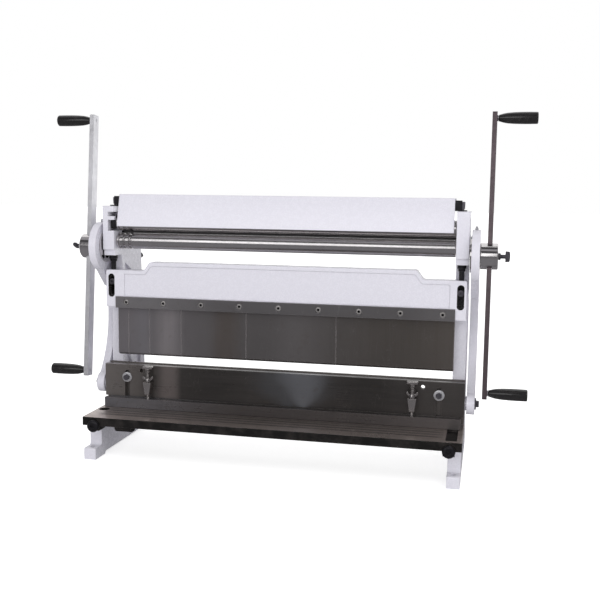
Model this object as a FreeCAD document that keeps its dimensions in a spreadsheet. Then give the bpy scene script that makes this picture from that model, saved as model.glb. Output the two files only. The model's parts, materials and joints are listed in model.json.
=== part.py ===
"""Combination bench machine: three forming rolls, a finger brake and a shear in one frame.

X runs along the rolls, Y towards the back and Z up. The origin is on the floor below the middle
of the whole machine. The shapes are drawn with Y = 0 in the plane of the roll axes and of the
dies, and node() moves each finished sub-part to the origin. Millimetres throughout.
"""
import FreeCAD, Part
import math
import os

import Sketcher
from FreeCAD import Placement, Rotation, Vector

doc = FreeCAD.newDocument("bench_roll_machine")

# ---------------------------------------------------------------------------------------------
# Driving dimensions: one row each, a name and its value
# ---------------------------------------------------------------------------------------------
DIMENSIONS = [
    # side frames and table
    ("frame_gap", 758), ("frame_thick", 27), ("frame_front", 26), ("column_front", 18),
    ("column_depth", 112), ("foot_front", 137), ("foot_back", 205), ("foot_height", 25),
    ("foot_toe", 32), ("foot_hole", 11), ("web_recess", 6), ("head_height", 111),
    ("table_top", 95.5), ("table_plate", 10.8), ("table_rim", 18.5), ("table_front", 138),
    ("table_overhang", 2), ("table_back", 33), ("lower_blade_thick", 12),
    ("table_screw_head", 27), ("table_screw_in", 10),
    # bed that rises: beam, slotted plate, blade, hold-down
    ("plate_lift", 22.5), ("plate_height", 74), ("plate_thick", 12), ("plate_front", 20),
    ("beam_back", 17), ("beam_drop", 18), ("bed_overhang", 1), ("vee_width", 18), ("vee_depth", 11),
    ("slot_bolt_in", 53.5), ("slot_width", 12), ("washer_size", 23), ("blade_overlap", 10.5),
    ("blade_clear", 0.4), ("bar_rest_gap", 0.3), ("bar_short", 6), ("hold_screw_in", 109),
    ("hold_stud", 9), ("spring_wire", 1.6), ("guide_width", 12),
    # upper beam, clamp bar and finger dies
    ("brake_gap", 20), ("die_height", 133), ("die_thick", 10), ("die_front", 4), ("die_overhang", 2),
    ("clamp_height", 25.3), ("clamp_thick", 14.3), ("beam_front", 16),
    ("upper_beam_back", 17.7), ("lug_height", 84), ("beam_rise", 19.5), ("beam_step_in", 90),
    ("end_slot_width", 15), ("end_slot_height", 53), ("jack_gap", 33), ("jack_head", 19.5),
    # rolls, gears and bearings
    ("roll_size", 36), ("roll_gap", 5), ("roll_height_over_head", 33), ("roll_end_gap", 1.5),
    ("journal_size", 22), ("upper_journal_size", 20), ("bush_wall", 4), ("running_fit", 0.05),
    ("rear_roll_back", 42), ("rear_roll_rise", 16), ("rear_screw_tilt", 30), ("block_width", 28),
    ("gear_teeth", 20), ("gear_face", 10), ("roll_lift", 3), ("rear_travel", 8),
    # eccentrics, arms and cranks
    ("eccentric_throw", 14), ("arm_gap", 5), ("arm_thick", 17), ("arm_big_end", 110),
    ("arm_small_end", 46), ("arm_width", 34), ("arm_bow", 62), ("pivot_height_in_plate", 27),
    ("pivot_size", 14), ("sheave_size", 70), ("hub_size", 55), ("hub_length", 36),
    ("bar_length", 596), ("bar_width", 25), ("bar_thick", 10), ("bar_tilt", 5.3),
    ("grip_length", 82), ("grip_size", 25), ("grip_inset", 12), ("knob_size", 24),
    # cover over the rolls
    ("cover_sheet", 1.5), ("cover_drop", 8), ("cover_height", 72), ("cover_lean", 18),
    ("cover_clear", 6), ("cover_depth", 66), ("cover_short", 5.5),
]

sheet = doc.addObject("Spreadsheet::Sheet", "Dims")
for row, (alias, value) in enumerate(DIMENSIONS, start=1):
    sheet.set("A%d" % row, alias)
    sheet.set("B%d" % row, str(value))
    sheet.setAlias("B%d" % row, alias)
doc.recompute()

# ---------------------------------------------------------------------------------------------
# Places: levels and offsets worked out from the driving dimensions
# ---------------------------------------------------------------------------------------------
PLACES = [
    ("inner", "Dims.frame_gap / 2"),
    ("outer", "Places.inner + Dims.frame_thick"),
    ("die_length", "Dims.frame_gap + 2 * Dims.die_overhang"),
    ("clamp_screw_pitch", "Places.die_length * 3.5 / 30"),
    ("web_top", "Dims.table_top - Dims.table_plate"),
    ("table_bottom", "Dims.table_top - Dims.table_rim"),
    ("plate_bottom", "Dims.table_top + Dims.plate_lift"),
    ("plate_top", "Places.plate_bottom + Dims.plate_height"),
    ("plate_back", "Dims.plate_thick - Dims.plate_front"),
    ("beam_bottom", "Places.plate_bottom - Dims.beam_drop"),
    ("bed_end", "Places.outer + Dims.bed_overhang"),
    ("die_tip", "Places.plate_top + Dims.brake_gap"),
    ("die_top", "Places.die_tip + Dims.die_height"),
    ("clamp_top", "Places.die_top + 2.3"),
    ("clamp_bottom", "Places.clamp_top - Dims.clamp_height"),
    ("clamp_line", "Places.die_top - 10"),
    ("lug_bottom", "Places.clamp_bottom + 2"),
    ("lug_top", "Places.lug_bottom + Dims.lug_height"),
    ("upper_beam_top", "Places.lug_top + Dims.beam_rise"),
    ("die_back", "Dims.die_thick - Dims.die_front"),
    ("lug_middle", "(Places.inner + Places.outer) / 2 - 1"),
    ("slot_top", "Places.lug_top - 9"),
    ("slot_bottom", "Places.slot_top - Dims.end_slot_height"),
    ("head_bottom", "Places.lug_top + Dims.jack_gap"),
    ("head_top", "Places.head_bottom + Dims.head_height"),
    ("lower_z", "Places.head_bottom + Dims.roll_height_over_head"),
    ("upper_z", "Places.lower_z + Dims.roll_size + Dims.roll_gap"),
    ("rear_z", "Places.lower_z + Dims.rear_roll_rise"),
    ("roll_end", "Places.inner - Dims.roll_end_gap"),
    ("column_back", "Dims.column_front + Dims.column_depth"),
    ("hub_z", "Places.lower_z - Dims.eccentric_throw"),
    ("arm_in", "Places.outer + Dims.arm_gap"),
    ("arm_out", "Places.arm_in + Dims.arm_thick"),
    ("hub_in", "Places.arm_out + 0.6"),
    ("hub_out", "Places.hub_in + Dims.hub_length"),
    ("bar_in", "(Places.hub_in + Places.hub_out) / 2 - Dims.bar_thick / 2 + 0.9"),
    ("bar_out", "Places.bar_in + Dims.bar_thick"),
    ("pivot_z", "Places.plate_bottom + Dims.pivot_height_in_plate"),
    ("gear_size", "Dims.roll_size + Dims.roll_gap"),
    ("gear_module", "Places.gear_size / Dims.gear_teeth"),
    ("gear_outer", "Places.gear_size / 2 + Places.gear_module"),
    ("gear_pocket", "Places.outer - Dims.gear_face - 4"),
    ("cover_low", "Places.upper_z - Dims.cover_drop"),
    ("cover_front", "Dims.roll_size / 2 + Dims.cover_clear"),
    ("cover_high", "Places.cover_low + Dims.cover_height"),
    ("cover_end", "Places.inner - Dims.cover_short"),
    ("vee_middle", "Places.die_back - Dims.die_thick / 2"),
    ("hold_y", "-Dims.plate_front - 13.6"),
    ("bar_low", "Dims.table_top + Dims.bar_rest_gap"),
    ("bar_high", "Places.plate_bottom - 0.3"),
    ("middle", "(Dims.foot_back - Dims.table_front - 9) / 2"),
    ("screw_y", "6"),
    ("screw_x", "Places.inner + 9"),
]

places = doc.addObject("App::VarSet", "Places")
for name, formula in PLACES:
    places.addProperty("App::PropertyFloat", name, "Places", formula)
    places.setExpression(name, formula)
doc.recompute()


def size(name):
    """The number that a driving dimension or a place has now."""
    return float(getattr(sheet, name) if name in dict(DIMENSIONS) else getattr(places, name))


# ---------------------------------------------------------------------------------------------
# Small helpers: each makes one object whose sizes are bound by expressions
# ---------------------------------------------------------------------------------------------
TURN = {"X": Rotation(Vector(0, 1, 0), 90), "Y": Rotation(Vector(1, 0, 0), -90), "Z": Rotation()}
count = {"objects": 0}


def fresh(kind, name):
    """A new document object with a running number, so that helper shapes never share a name."""
    count["objects"] += 1
    return doc.addObject(kind, "%s_%d" % (name, count["objects"]))


def seat(item, x, y, z):
    """Binds the three coordinates of an object's base."""
    for letter, formula in zip("xyz", (x, y, z)):
        item.setExpression("Placement.Base.%s" % letter, str(formula))


def box(name, x, y, z):
    """A block between two limits on each axis, each limit an expression."""
    item = fresh("Part::Box", name)
    for prop, (low, high) in zip(("Length", "Width", "Height"), (x, y, z)):
        item.setExpression(prop, "(%s) - (%s)" % (high, low))
    seat(item, x[0], y[0], z[0])
    return item


def rod(name, axis, start, end, middle, radius):
    """A cylinder along an axis, between two limits, about the other two coordinates."""
    item = fresh("Part::Cylinder", name)
    item.Placement = Placement(Vector(), TURN[axis])
    item.setExpression("Radius", str(radius))
    item.setExpression("Height", "(%s) - (%s)" % (end, start))
    centre = list(middle)
    centre.insert("XYZ".index(axis), start)
    seat(item, *centre)
    return item


def taper(name, axis, start, end, middle, first, last):
    """A cone along an axis, with its radius at the start and at the end."""
    item = fresh("Part::Cone", name)
    item.Placement = Placement(Vector(), TURN[axis])
    item.setExpression("Radius1", str(first))
    item.setExpression("Radius2", str(last))
    item.setExpression("Height", "(%s) - (%s)" % (end, start))
    centre = list(middle)
    centre.insert("XYZ".index(axis), start)
    seat(item, *centre)
    return item


def join(name, pieces):
    """Several shapes made one solid."""
    item = fresh("Part::MultiFuse", name)
    item.Shapes = pieces
    item.Refine = True
    return item


def cut(name, base, tools):
    """A shape with one or more others taken away."""
    item = fresh("Part::Cut", name)
    item.Base = base
    item.Tool = tools[0] if len(tools) == 1 else group(name + "_tools", tools)
    item.Refine = True
    return item


def common(name, first, second):
    """What two shapes share."""
    item = fresh("Part::Common", name)
    item.Base = first
    item.Tool = second
    return item


def group(name, pieces):
    """Separate solids kept together."""
    item = fresh("Part::Compound", name)
    item.Links = pieces
    return item


def mirrored(name, source):
    """The same shape on the other side of the middle plane."""
    item = fresh("Part::Mirroring", name)
    item.Source = source
    item.Normal = Vector(1, 0, 0)
    return item


def both(name, source):
    """A shape and its mirror image as one group."""
    return group(name, [source, mirrored(name + "_mirror", source)])


def bevel(name, source, width, chosen):
    """A chamfer on the edges that the chosen test picks."""
    doc.recompute()
    item = fresh("Part::Chamfer", name)
    item.Base = source
    edges = [(n, width, width) for n, edge in enumerate(source.Shape.Edges, start=1) if chosen(edge)]
    item.Edges = edges
    return item


PLANES = {"X": "YZ_Plane", "Y": "XZ_Plane", "Z": "XY_Plane"}


def polygon_sketch(body, name, axis, start, points):
    """A closed sketch across an axis whose corners are bound to pairs of expressions."""
    sketch = body.newObject("Sketcher::SketchObject", name + "_sketch")
    plane = [f for f in body.Origin.OriginFeatures if f.Role == PLANES[axis]][0]
    sketch.AttachmentSupport = [(plane, "")]
    sketch.MapMode = "FlatFace"
    side = -1 if axis == "Y" else 1
    sketch.setExpression("AttachmentOffset.Base.z", "%d * (%s)" % (side, start))
    step = 2 * math.pi / len(points)
    near = [(10 * math.cos(i * step), 10 * math.sin(i * step)) for i in range(len(points))]
    for i, spot in enumerate(near):
        after = near[(i + 1) % len(near)]
        sketch.addGeometry(Part.LineSegment(Vector(*spot, 0), Vector(*after, 0)))
    for i in range(len(points)):
        sketch.addConstraint(Sketcher.Constraint("Coincident", i, 2, (i + 1) % len(points), 1))
    for i, pair in enumerate(points):
        for kind, formula, guess in zip(("DistanceX", "DistanceY"), pair, near[i]):
            number = sketch.addConstraint(Sketcher.Constraint(kind, -1, 1, i, 1, guess))
            sketch.setExpression("Constraints[%d]" % number, str(formula))
    return sketch


def padded(body, name, sketch, length, reverse=False):
    """Pads a sketch inside its body and makes the pad the body's tip."""
    pad = body.newObject("PartDesign::Pad", name + "_pad")
    pad.Profile = sketch
    pad.Reversed = reverse
    pad.setExpression("Length", "%s" % length)
    body.Tip = pad
    return pad


def outline(name, axis, start, length, points, rounds=()):
    """A sketched outline padded along an axis.

    Each point is a pair of expressions in the plane across the axis. rounds lists the corners to
    round, each a number in the points' order and a radius.
    """
    body = fresh("PartDesign::Body", name)
    sketch = polygon_sketch(body, name, axis, start, points)
    padded(body, name, sketch, length, axis == "Y")
    doc.recompute()
    corners = [sketch.Placement.multVec(sketch.Geometry[i].StartPoint) for i in range(len(points))]
    letter = "XYZ".index(axis)
    for radius in sorted({r for _, r in rounds}):
        wanted = [corners[i] for i, r in rounds if r == radius]
        names = []
        for n, edge in enumerate(body.Tip.Shape.Edges, start=1):
            ends = [vertex.Point for vertex in edge.Vertexes]
            if len(ends) != 2 or abs(ends[0][letter] - ends[1][letter]) < 0.01:
                continue
            flat = [[p[k] for k in range(3) if k != letter] for p in ends]
            if math.dist(flat[0], flat[1]) > 0.01:
                continue
            if any(math.dist(flat[0], [c[k] for k in range(3) if k != letter]) < 0.01 for c in wanted):
                names.append("Edge%d" % n)
        before = body.Tip
        fillet = body.newObject("PartDesign::Fillet", name + "_round")
        fillet.Base = (before, names)
        fillet.Radius = radius
        body.Tip = fillet
        doc.recompute()
    return body


def turned(name, axis, middle, profile):
    """A solid of revolution about a line along an axis.

    profile lists pairs of an expression along the axis and an expression for the radius there.
    """
    pieces = []
    for (start, first), (end, last) in zip(profile, profile[1:]):
        if start == end:
            continue
        if str(first) == str(last):
            pieces.append(rod(name + "_run", axis, start, end, middle, first))
        else:
            pieces.append(taper(name + "_cone", axis, start, end, middle, first, last))
    return pieces[0] if len(pieces) == 1 else join(name, pieces)


NODES = {}


def node(name, item):
    """Names a finished sub-part and moves it so that the origin is below the machine's middle.

    The label is the name of the sub-part's file.
    """
    whole = item if item.TypeId == "Part::Compound" else group(name, [item])
    whole.setExpression("Placement.Base.y", "-Places.middle")
    whole.Label = name
    NODES[name] = whole
    return whole


# ---------------------------------------------------------------------------------------------
# Side frames
# ---------------------------------------------------------------------------------------------
def frame_outline():
    """The casting's side view: foot, column set back behind the beams, and overhanging head."""
    points = [
        ("-Dims.foot_front", "0"),
        ("-Dims.foot_front", "Dims.foot_height"),
        ("-Dims.foot_front + Dims.foot_toe", "Dims.foot_height"),
        ("-Dims.foot_front + Dims.foot_toe", "Places.web_top"),
        ("Dims.column_front", "Places.web_top"),
        ("Dims.column_front", "Places.head_bottom - 13"),
        ("Dims.column_front - 5", "Places.head_bottom"),
        ("-Dims.frame_front + 6", "Places.head_bottom"),
        ("-Dims.frame_front + 6", "Places.head_bottom + 13"),
        ("-Dims.frame_front", "Places.head_bottom + 13"),
        ("-Dims.frame_front", "Places.head_top"),
        ("Places.column_back - 62", "Places.head_top"),
        ("Places.column_back - 8", "Places.head_top - 48"),
        ("Places.column_back", "Places.head_bottom - 16"),
        ("Places.column_back + 14", "Places.plate_bottom + 55"),
        ("Places.column_back + 22", "Dims.foot_height + 45"),
        ("Dims.foot_back", "Dims.foot_height"),
        ("Dims.foot_back", "0"),
        ("Dims.foot_back - 45", "0"),
        ("Dims.foot_back - 50", "6"),
        ("-Dims.foot_front + 52", "6"),
        ("-Dims.foot_front + 47", "0"),
    ]
    rounds = [(1, 3), (2, 5), (4, 5), (10, 3), (11, 14), (12, 14), (15, 40)]
    return outline("frame_casting", "X", "Places.inner", "Dims.frame_thick", points, rounds)


def column_pockets():
    """Three recesses on each face of the casting, which leave a border and slanting ribs."""
    front = "Dims.column_front + 15"
    back = "Places.column_back - 12"
    low = "Places.web_top + 22"
    first = "Places.web_top + 150"
    top = "Places.head_bottom - 20"
    shapes = [
        [(front, low), (back, low), (front, first)],
        [(back, low + " + 24"), (back, top + " - 60"), (front, top + " - 60"), (front, first + " + 26")],
        [(front, top + " - 44"), (back, top + " - 44"), (front, top)],
    ]
    made = []
    for number, points in enumerate(shapes):
        for face, start in (("inner", "Places.inner"), ("outer", "Places.outer - Dims.web_recess")):
            made.append(outline("pocket_%s_%d" % (face, number), "X", start, "Dims.web_recess", points))
    return made


def rear_window(name, start, end):
    """The slanting window in a head where the rear roll's block slides."""
    item = box(name, (start, end), ("0", "1"), ("0", "1"))
    item.setExpression("Width", "Dims.block_width + 2 * Dims.rear_travel + 1")
    item.setExpression("Height", "Dims.block_width + 0.6")
    return slanted(item, start, "Dims.block_width / 2 + Dims.rear_travel + 0.5", "Dims.block_width / 2 + 0.3")


def slanted(item, x, along, across):
    """Turns an upright piece to the rear screws' slope and seats it about the rear roll's axis.

    along and across are the distances from the piece's low corner to the roll's axis, measured
    down the slope and square to it.
    """
    slope = "-Dims.rear_screw_tilt * 1 deg"
    item.Placement = Placement(Vector(), Rotation(Vector(1, 0, 0), -30))
    item.setExpression("Placement.Rotation.Angle", "Dims.rear_screw_tilt")
    item.setExpression("Placement.Rotation.Axis.x", "-1")
    seat(item, x,
         "Dims.rear_roll_back - (%s) * cos(%s) + (%s) * sin(%s)" % (along, slope, across, slope),
         "Places.rear_z - (%s) * sin(%s) - (%s) * cos(%s)" % (along, slope, across, slope))
    return item


def rear_screw_hole(start_gap, length, x, radius):
    """A round bar along the rear screws' slope, starting start_gap behind the roll's axis."""
    item = fresh("Part::Cylinder", "rear_bar")
    tilt = "Dims.rear_screw_tilt * 1 deg"
    item.Placement = Placement(Vector(), Rotation(Vector(1, 0, 0), -120))
    item.setExpression("Radius", str(radius))
    item.setExpression("Height", str(length))
    item.setExpression("Placement.Rotation.Angle", "90 + Dims.rear_screw_tilt")
    item.setExpression("Placement.Rotation.Axis.x", "-1")
    seat(item, x,
         "Dims.rear_roll_back + (%s) * cos(%s)" % (start_gap, tilt),
         "Places.rear_z - (%s) * sin(%s)" % (start_gap, tilt))
    return item


def foot_holes():
    """The upright bolt holes through the toe and the heel of a foot."""
    middle = "(Places.inner + Places.outer) / 2"
    toe = "-Dims.foot_front + Dims.foot_toe / 2"
    heel = "Dims.foot_back - 20"
    return [rod("toe_hole", "Z", "-1", "Dims.foot_height + 1", (middle, toe), "Dims.foot_hole / 2"),
            rod("heel_hole", "Z", "-1", "Dims.foot_height + 20", (middle, heel), "Dims.foot_hole / 2")]


def shared_frame_cuts():
    """What both frames have: pockets, foot holes, bolt holes, tie rod holes and the rear window."""
    lug = "Places.lug_middle"
    cuts = column_pockets() + foot_holes()
    cuts.append(rod("beam_bolt_hole", "Y", "Dims.column_front - 1", "Dims.column_front + 26",
                    (lug, "Places.slot_top - 18"), "5"))
    cuts.append(rod("table_screw_hole", "Y", "-Dims.foot_front + Dims.foot_toe - 1",
                    "-Dims.foot_front + Dims.foot_toe + 24",
                    ("Places.outer - Dims.table_screw_in - 14", "Places.table_bottom - 4"), "5"))
    for y, z in tie_rod_places():
        cuts.append(rod("tie_rod_hole", "X", "Places.inner - 1", "Places.outer + 1", (y, z), "7"))
    cuts.append(rear_window("rear_window", "Places.inner - 1", "Places.inner + 15"))
    cuts.append(rear_screw_hole("Dims.block_width / 2", "140", "Places.inner + 7", "4.4"))
    cuts.append(rod("roll_screw_hole", "Z", "Places.upper_z", "Places.head_top + 1",
                    ("Places.screw_x", "Places.screw_y"), "4.05"))
    return cuts


def block_chamber(front):
    """The space in a head where the upper roll's bearing block slides up and down."""
    half = "Dims.block_width / 2 + 2.3"
    return box("block_chamber", ("Places.inner - 1", "Places.inner + 14.6"), (front, half),
               ("Places.upper_z - 18", "Places.upper_z + 24"))


def right_side_frame():
    """Right frame: the head holds the two roll gears in a pocket on its outer side."""
    cuts = shared_frame_cuts()
    cuts.append(block_chamber("-Dims.block_width / 2 - 2.3"))
    pocket = "Places.gear_pocket"
    reach = "Places.gear_outer + 1"
    cuts.append(rod("gear_room_low", "X", pocket, "Places.outer + 1", ("0", "Places.lower_z"), reach))
    cuts.append(rod("gear_room_high", "X", pocket, "Places.outer + 1",
                    ("0", "Places.upper_z + Dims.roll_lift"), reach))
    cuts.append(box("gear_room_between", (pocket, "Places.outer + 1"), ("-(%s)" % reach, reach),
                    ("Places.lower_z", "Places.upper_z + Dims.roll_lift")))
    cuts.append(rod("bush_hole", "X", "Places.inner - 1", "Places.outer",
                    ("0", "Places.lower_z"), "Dims.journal_size / 2 + Dims.bush_wall"))
    node("right_side_frame", cut("right_side_frame", frame_outline(), cuts))


def left_side_frame():
    """Left frame: the head is open at the front to the block that carries the upper roll."""
    cuts = shared_frame_cuts()
    cuts.append(block_chamber("-Dims.block_width / 2 - 2.3"))
    mouth = ("Places.inner - 1", "Places.inner + 14.6")
    depth = ("-Dims.frame_front - 1", "0")
    cuts.append(box("mouth_low", mouth, depth, ("Places.upper_z - 18", "Places.upper_z + 6")))
    cuts.append(box("mouth_high", mouth, depth, ("Places.upper_z + 14.5", "Places.upper_z + 24")))
    cuts.append(rod("bush_hole", "X", "Places.inner - 1", "Places.outer + 1",
                    ("0", "Places.lower_z"), "Dims.journal_size / 2 + Dims.bush_wall"))
    right_hand = cut("left_frame_source", frame_outline(), cuts)
    node("left_side_frame", mirrored("left_side_frame", right_hand))


def tie_rod_places():
    """Y and Z of the bars that hold the frames apart, all behind the working parts."""
    back = "Places.column_back - 24"
    return [(back, "Places.head_bottom + 47"), (back, "Places.plate_bottom - 4")]


def tie_rods():
    """Two shouldered bars across the back, with a nut and washer face outside each frame."""
    solids = []
    for y, z in tie_rod_places():
        bar = join("tie_bar", [
            rod("tie_middle", "X", "-Places.inner", "Places.inner", (y, z), "11"),
            rod("tie_end", "X", "-Places.outer - 1.6", "Places.outer + 1.6", (y, z), "7")])
        solids.append(bar)
    node("tie_rods", group("tie_rods", solids))


def tie_rod_screws():
    """Flanged screws on the outer ends of the tie bars, clear of the arms."""
    solids = []
    for y, z in tie_rod_places():
        head = rod("tie_screw_head", "X", "Places.outer + 1.6", "Places.outer + 4.4", (y, z), "10")
        solids += [head, mirrored("tie_screw_left", head)]
    node("tie_rod_screws", group("tie_rod_screws", solids))


def lower_roll_bushes():
    """Bronze bushes in both heads that carry the lower roll."""
    outside = "Dims.journal_size / 2 + Dims.bush_wall"
    inside = "Dims.journal_size / 2 + Dims.running_fit"
    middle = ("0", "Places.lower_z")
    right = cut("right_bush", rod("bush", "X", "Places.inner", "Places.gear_pocket", middle, outside),
                [rod("bush_bore", "X", "Places.inner - 1", "Places.outer", middle, inside)])
    left = cut("left_bush", rod("bush", "X", "-Places.outer", "-Places.inner", middle, outside),
               [rod("bush_bore", "X", "-Places.outer - 1", "-Places.inner + 1", middle, inside)])
    node("lower_roll_bushes", group("lower_roll_bushes", [left, right]))


# ---------------------------------------------------------------------------------------------
# Table and lower blade
# ---------------------------------------------------------------------------------------------
TABLE_END = "Places.outer + Dims.table_overhang"


def table():
    """Cast table: a plate with a deep front rim, two ribs, machined lines and end ears."""
    whole = ("-(%s)" % TABLE_END, TABLE_END)
    plate = box("table_plate", whole, ("-Dims.table_front", "-Dims.table_back"),
                ("Places.web_top", "Dims.table_top"))
    rim = box("table_rim", whole, ("-Dims.table_front", "-Dims.table_front + 14"),
              ("Places.table_bottom", "Dims.table_top - 2"))
    ribs = [box("table_rib", ("-Places.inner + 12", "Places.inner - 12"),
                ("-Dims.table_front + %d" % y, "-Dims.table_front + %d" % (y + 9)),
                ("Places.table_bottom", "Dims.table_top - 2")) for y in (46, 82)]
    ear = box("table_ear", (TABLE_END + " - 10", TABLE_END), ("-Dims.table_back - 2", "Dims.column_front - 4"),
              ("Places.web_top", "Dims.table_top"))
    blade_ledge = box("blade_ledge", ("-Places.inner + 12", "Places.inner - 12"),
                      ("-Dims.table_back - 10", "-Dims.table_back"), ("Places.table_bottom", "Dims.table_top - 2"))
    lug = outline("table_lug", "X", "-Places.inner + 44", "38",
                  [("-Dims.table_front + 3", "Dims.table_top - 2"),
                   ("-Dims.table_front + 3", "Places.table_bottom - 5"),
                   ("-Dims.table_front + 9", "Places.table_bottom - 11"),
                   ("-Dims.table_front + 24", "Places.table_bottom - 11"),
                   ("-Dims.table_front + 30", "Places.table_bottom - 5"),
                   ("-Dims.table_front + 30", "Dims.table_top - 2")])
    screw_x = "Places.outer - Dims.table_screw_in - 14"
    pads = [box("screw_pad", ("%s - 12" % screw_x, "%s + 12" % screw_x),
                ("-Dims.table_front + 1", "-Dims.foot_front + Dims.foot_toe"),
                ("Places.table_bottom - 11", "Dims.table_top - 2"))]
    pads.append(mirrored("screw_pad_left", pads[0]))
    solid = join("table_casting", [plate, rim, ear, mirrored("table_ear_left", ear), blade_ledge, lug] + ribs + pads)
    lines = [box("table_line", ("-(%s) + 24" % TABLE_END, "%s - 40" % TABLE_END),
                 ("-Dims.table_front + %s" % y, "-Dims.table_front + %s + 1.2" % y),
                 ("Dims.table_top - 0.7", "Dims.table_top + 1")) for y in (30, 39, 48, 57, 66, 75, 84)]
    hole = rod("table_hole", "Z", "Dims.table_top - 8", "Dims.table_top + 1",
               ("-(%s) + 16.5" % TABLE_END, "-Dims.table_front + 76"), "12")
    tray = box("table_tray", (TABLE_END + " - 34", TABLE_END + " - 11"),
               ("-Dims.table_front + 12", "-Dims.table_back - 6"), ("Dims.table_top - 4", "Dims.table_top + 1"))
    screw_hole = rod("screw_hole", "Y", "-Dims.table_front - 1", "-Dims.foot_front + Dims.foot_toe + 1",
                     (screw_x, "Places.table_bottom - 4"), "5.2")
    node("table", cut("table", solid, lines + [hole, tray, screw_hole, mirrored("screw_hole_left", screw_hole)]))


def table_screws():
    """Large round-headed screws that hold the table's front rim against the feet."""
    place = ("Places.outer - Dims.table_screw_in - 14", "Places.table_bottom - 4")
    seen = ("Places.outer - Dims.table_screw_in - 14", "Places.table_bottom")
    head = turned("table_screw_head", "Y", seen, [
        ("-Dims.table_front - 9", "Dims.table_screw_head / 2 - 2"),
        ("-Dims.table_front - 7", "Dims.table_screw_head / 2"),
        ("-Dims.table_front", "Dims.table_screw_head / 2")])
    shank = rod("table_screw_shank", "Y", "-Dims.table_front - 2", "-Dims.foot_front + Dims.foot_toe + 22", place, "5")
    socket = rod("table_screw_socket", "Y", "-Dims.table_front - 10", "-Dims.table_front - 5", seen, "5")
    node("table_screws", both("table_screws", cut("table_screw", join("table_screw_body", [head, shank]), [socket])))


def lower_shear_blade():
    """Ground strip on the table's back edge, its top level with the table."""
    node("lower_shear_blade", box(
        "lower_shear_blade", ("-Places.inner + 2", "Places.inner - 2"),
        ("-Dims.table_back", "-Dims.table_back + Dims.lower_blade_thick"),
        ("Places.table_bottom - 2", "Dims.table_top")))


# ---------------------------------------------------------------------------------------------
# Upper beam, clamp bar and finger dies
# ---------------------------------------------------------------------------------------------
UPPER_END = "Places.outer - 2"


def upper_beam():
    """Stepped casting with slotted lugs; its lower front is cut back to seat the dies."""
    step = "Places.inner - Dims.beam_step_in + 24"
    points = [("-(%s)" % UPPER_END, "Places.lug_bottom"), (UPPER_END, "Places.lug_bottom"),
              (UPPER_END, "Places.lug_top"), (step, "Places.lug_top"),
              ("%s - 14" % step, "Places.upper_beam_top"), ("-(%s) + 14" % step, "Places.upper_beam_top"),
              ("-(%s)" % step, "Places.lug_top"), ("-(%s)" % UPPER_END, "Places.lug_top")]
    body = outline("upper_casting", "Y", "-Dims.beam_front", "Dims.beam_front + Dims.upper_beam_back",
                   points, [(2, 4), (7, 4), (3, 10), (6, 10), (4, 6), (5, 6)])
    inside = "Places.inner - 1"
    rim = 9
    field = [("-(%s) + 18" % inside, "Places.clamp_top + 2"), ("%s - 9" % inside, "Places.clamp_top + 2"),
             ("%s - 9" % inside, "Places.lug_top - %d" % rim), ("%s - 3" % step, "Places.lug_top - %d" % rim),
             ("%s - 17" % step, "Places.upper_beam_top - %d" % rim),
             ("-(%s) + 17" % step, "Places.upper_beam_top - %d" % rim),
             ("-(%s) + 3" % step, "Places.lug_top - %d" % rim), ("-(%s) + 18" % inside, "Places.lug_top - %d" % rim)]
    cuts = [outline("beam_field", "Y", "-Dims.beam_front", "1.5", field, [(2, 4), (3, 8), (4, 8), (5, 8), (6, 8)])]
    cuts.append(box("die_seat", ("-Places.die_length / 2 - 0.3", "Places.die_length / 2 + 0.3"),
                    ("-Dims.beam_front - 1", "Places.die_back"), ("Places.lug_bottom - 1", "Places.clamp_top + 0.2")))
    cuts.append(box("behind_lugs", ("-(%s)" % inside, inside), ("Dims.upper_beam_back - 4", "Dims.upper_beam_back + 1"),
                    ("Places.lug_bottom - 1", "Places.upper_beam_top + 1")))
    middle = "Places.lug_middle"
    half = "Dims.end_slot_width / 2"
    ends = []
    for radius, depth in ((half, "-Dims.beam_front + 12"), ("5.4", "Dims.upper_beam_back + 1")):
        low = "Places.slot_bottom + Dims.end_slot_width / 2"
        high = "Places.slot_top - Dims.end_slot_width / 2"
        ends.append(rod("end_slot_low", "Y", "-Dims.beam_front - 1", depth, (middle, low), radius))
        ends.append(rod("end_slot_high", "Y", "-Dims.beam_front - 1", depth, (middle, high), radius))
        ends.append(box("end_slot_run", ("%s - %s" % (middle, radius), "%s + %s" % (middle, radius)),
                        ("-Dims.beam_front - 1", depth), (low, high)))
    ends.append(rod("jack_hole", "Z", "Places.slot_top - 20", "Places.lug_top + 1", (middle, "-2"), "6.05"))
    cuts += ends + [mirrored("end_cut_left", piece) for piece in ends]
    for x in clamp_screw_places():
        cuts.append(rod("clamp_thread", "Y", "0", "Dims.upper_beam_back", (x, "Places.clamp_line"), "4"))
    node("upper_beam", cut("upper_beam", body, cuts))


def clamp_screw_places():
    """X of the nine clamp screws, evenly spaced about the middle."""
    return ["%d * Places.clamp_screw_pitch" % i for i in range(-4, 5)]


def clamp_bar():
    """Flat bar that nips the finger dies against the beam."""
    back = "-Dims.die_front"
    front = "-Dims.die_front - Dims.clamp_thick"
    bar = box("clamp_flat", ("-Places.die_length / 2", "Places.die_length / 2"), (front, back),
              ("Places.clamp_bottom", "Places.clamp_top"))
    cuts = []
    for x in clamp_screw_places():
        cuts.append(rod("clamp_bore", "Y", "%s - 1" % front, "%s + 1" % back, (x, "Places.clamp_line"), "4.5"))
        cuts.append(rod("clamp_sink", "Y", "%s - 1" % front, "%s + 8" % front, (x, "Places.clamp_line"), "7"))
    node("clamp_bar", cut("clamp_bar", bar, cuts))


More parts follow.
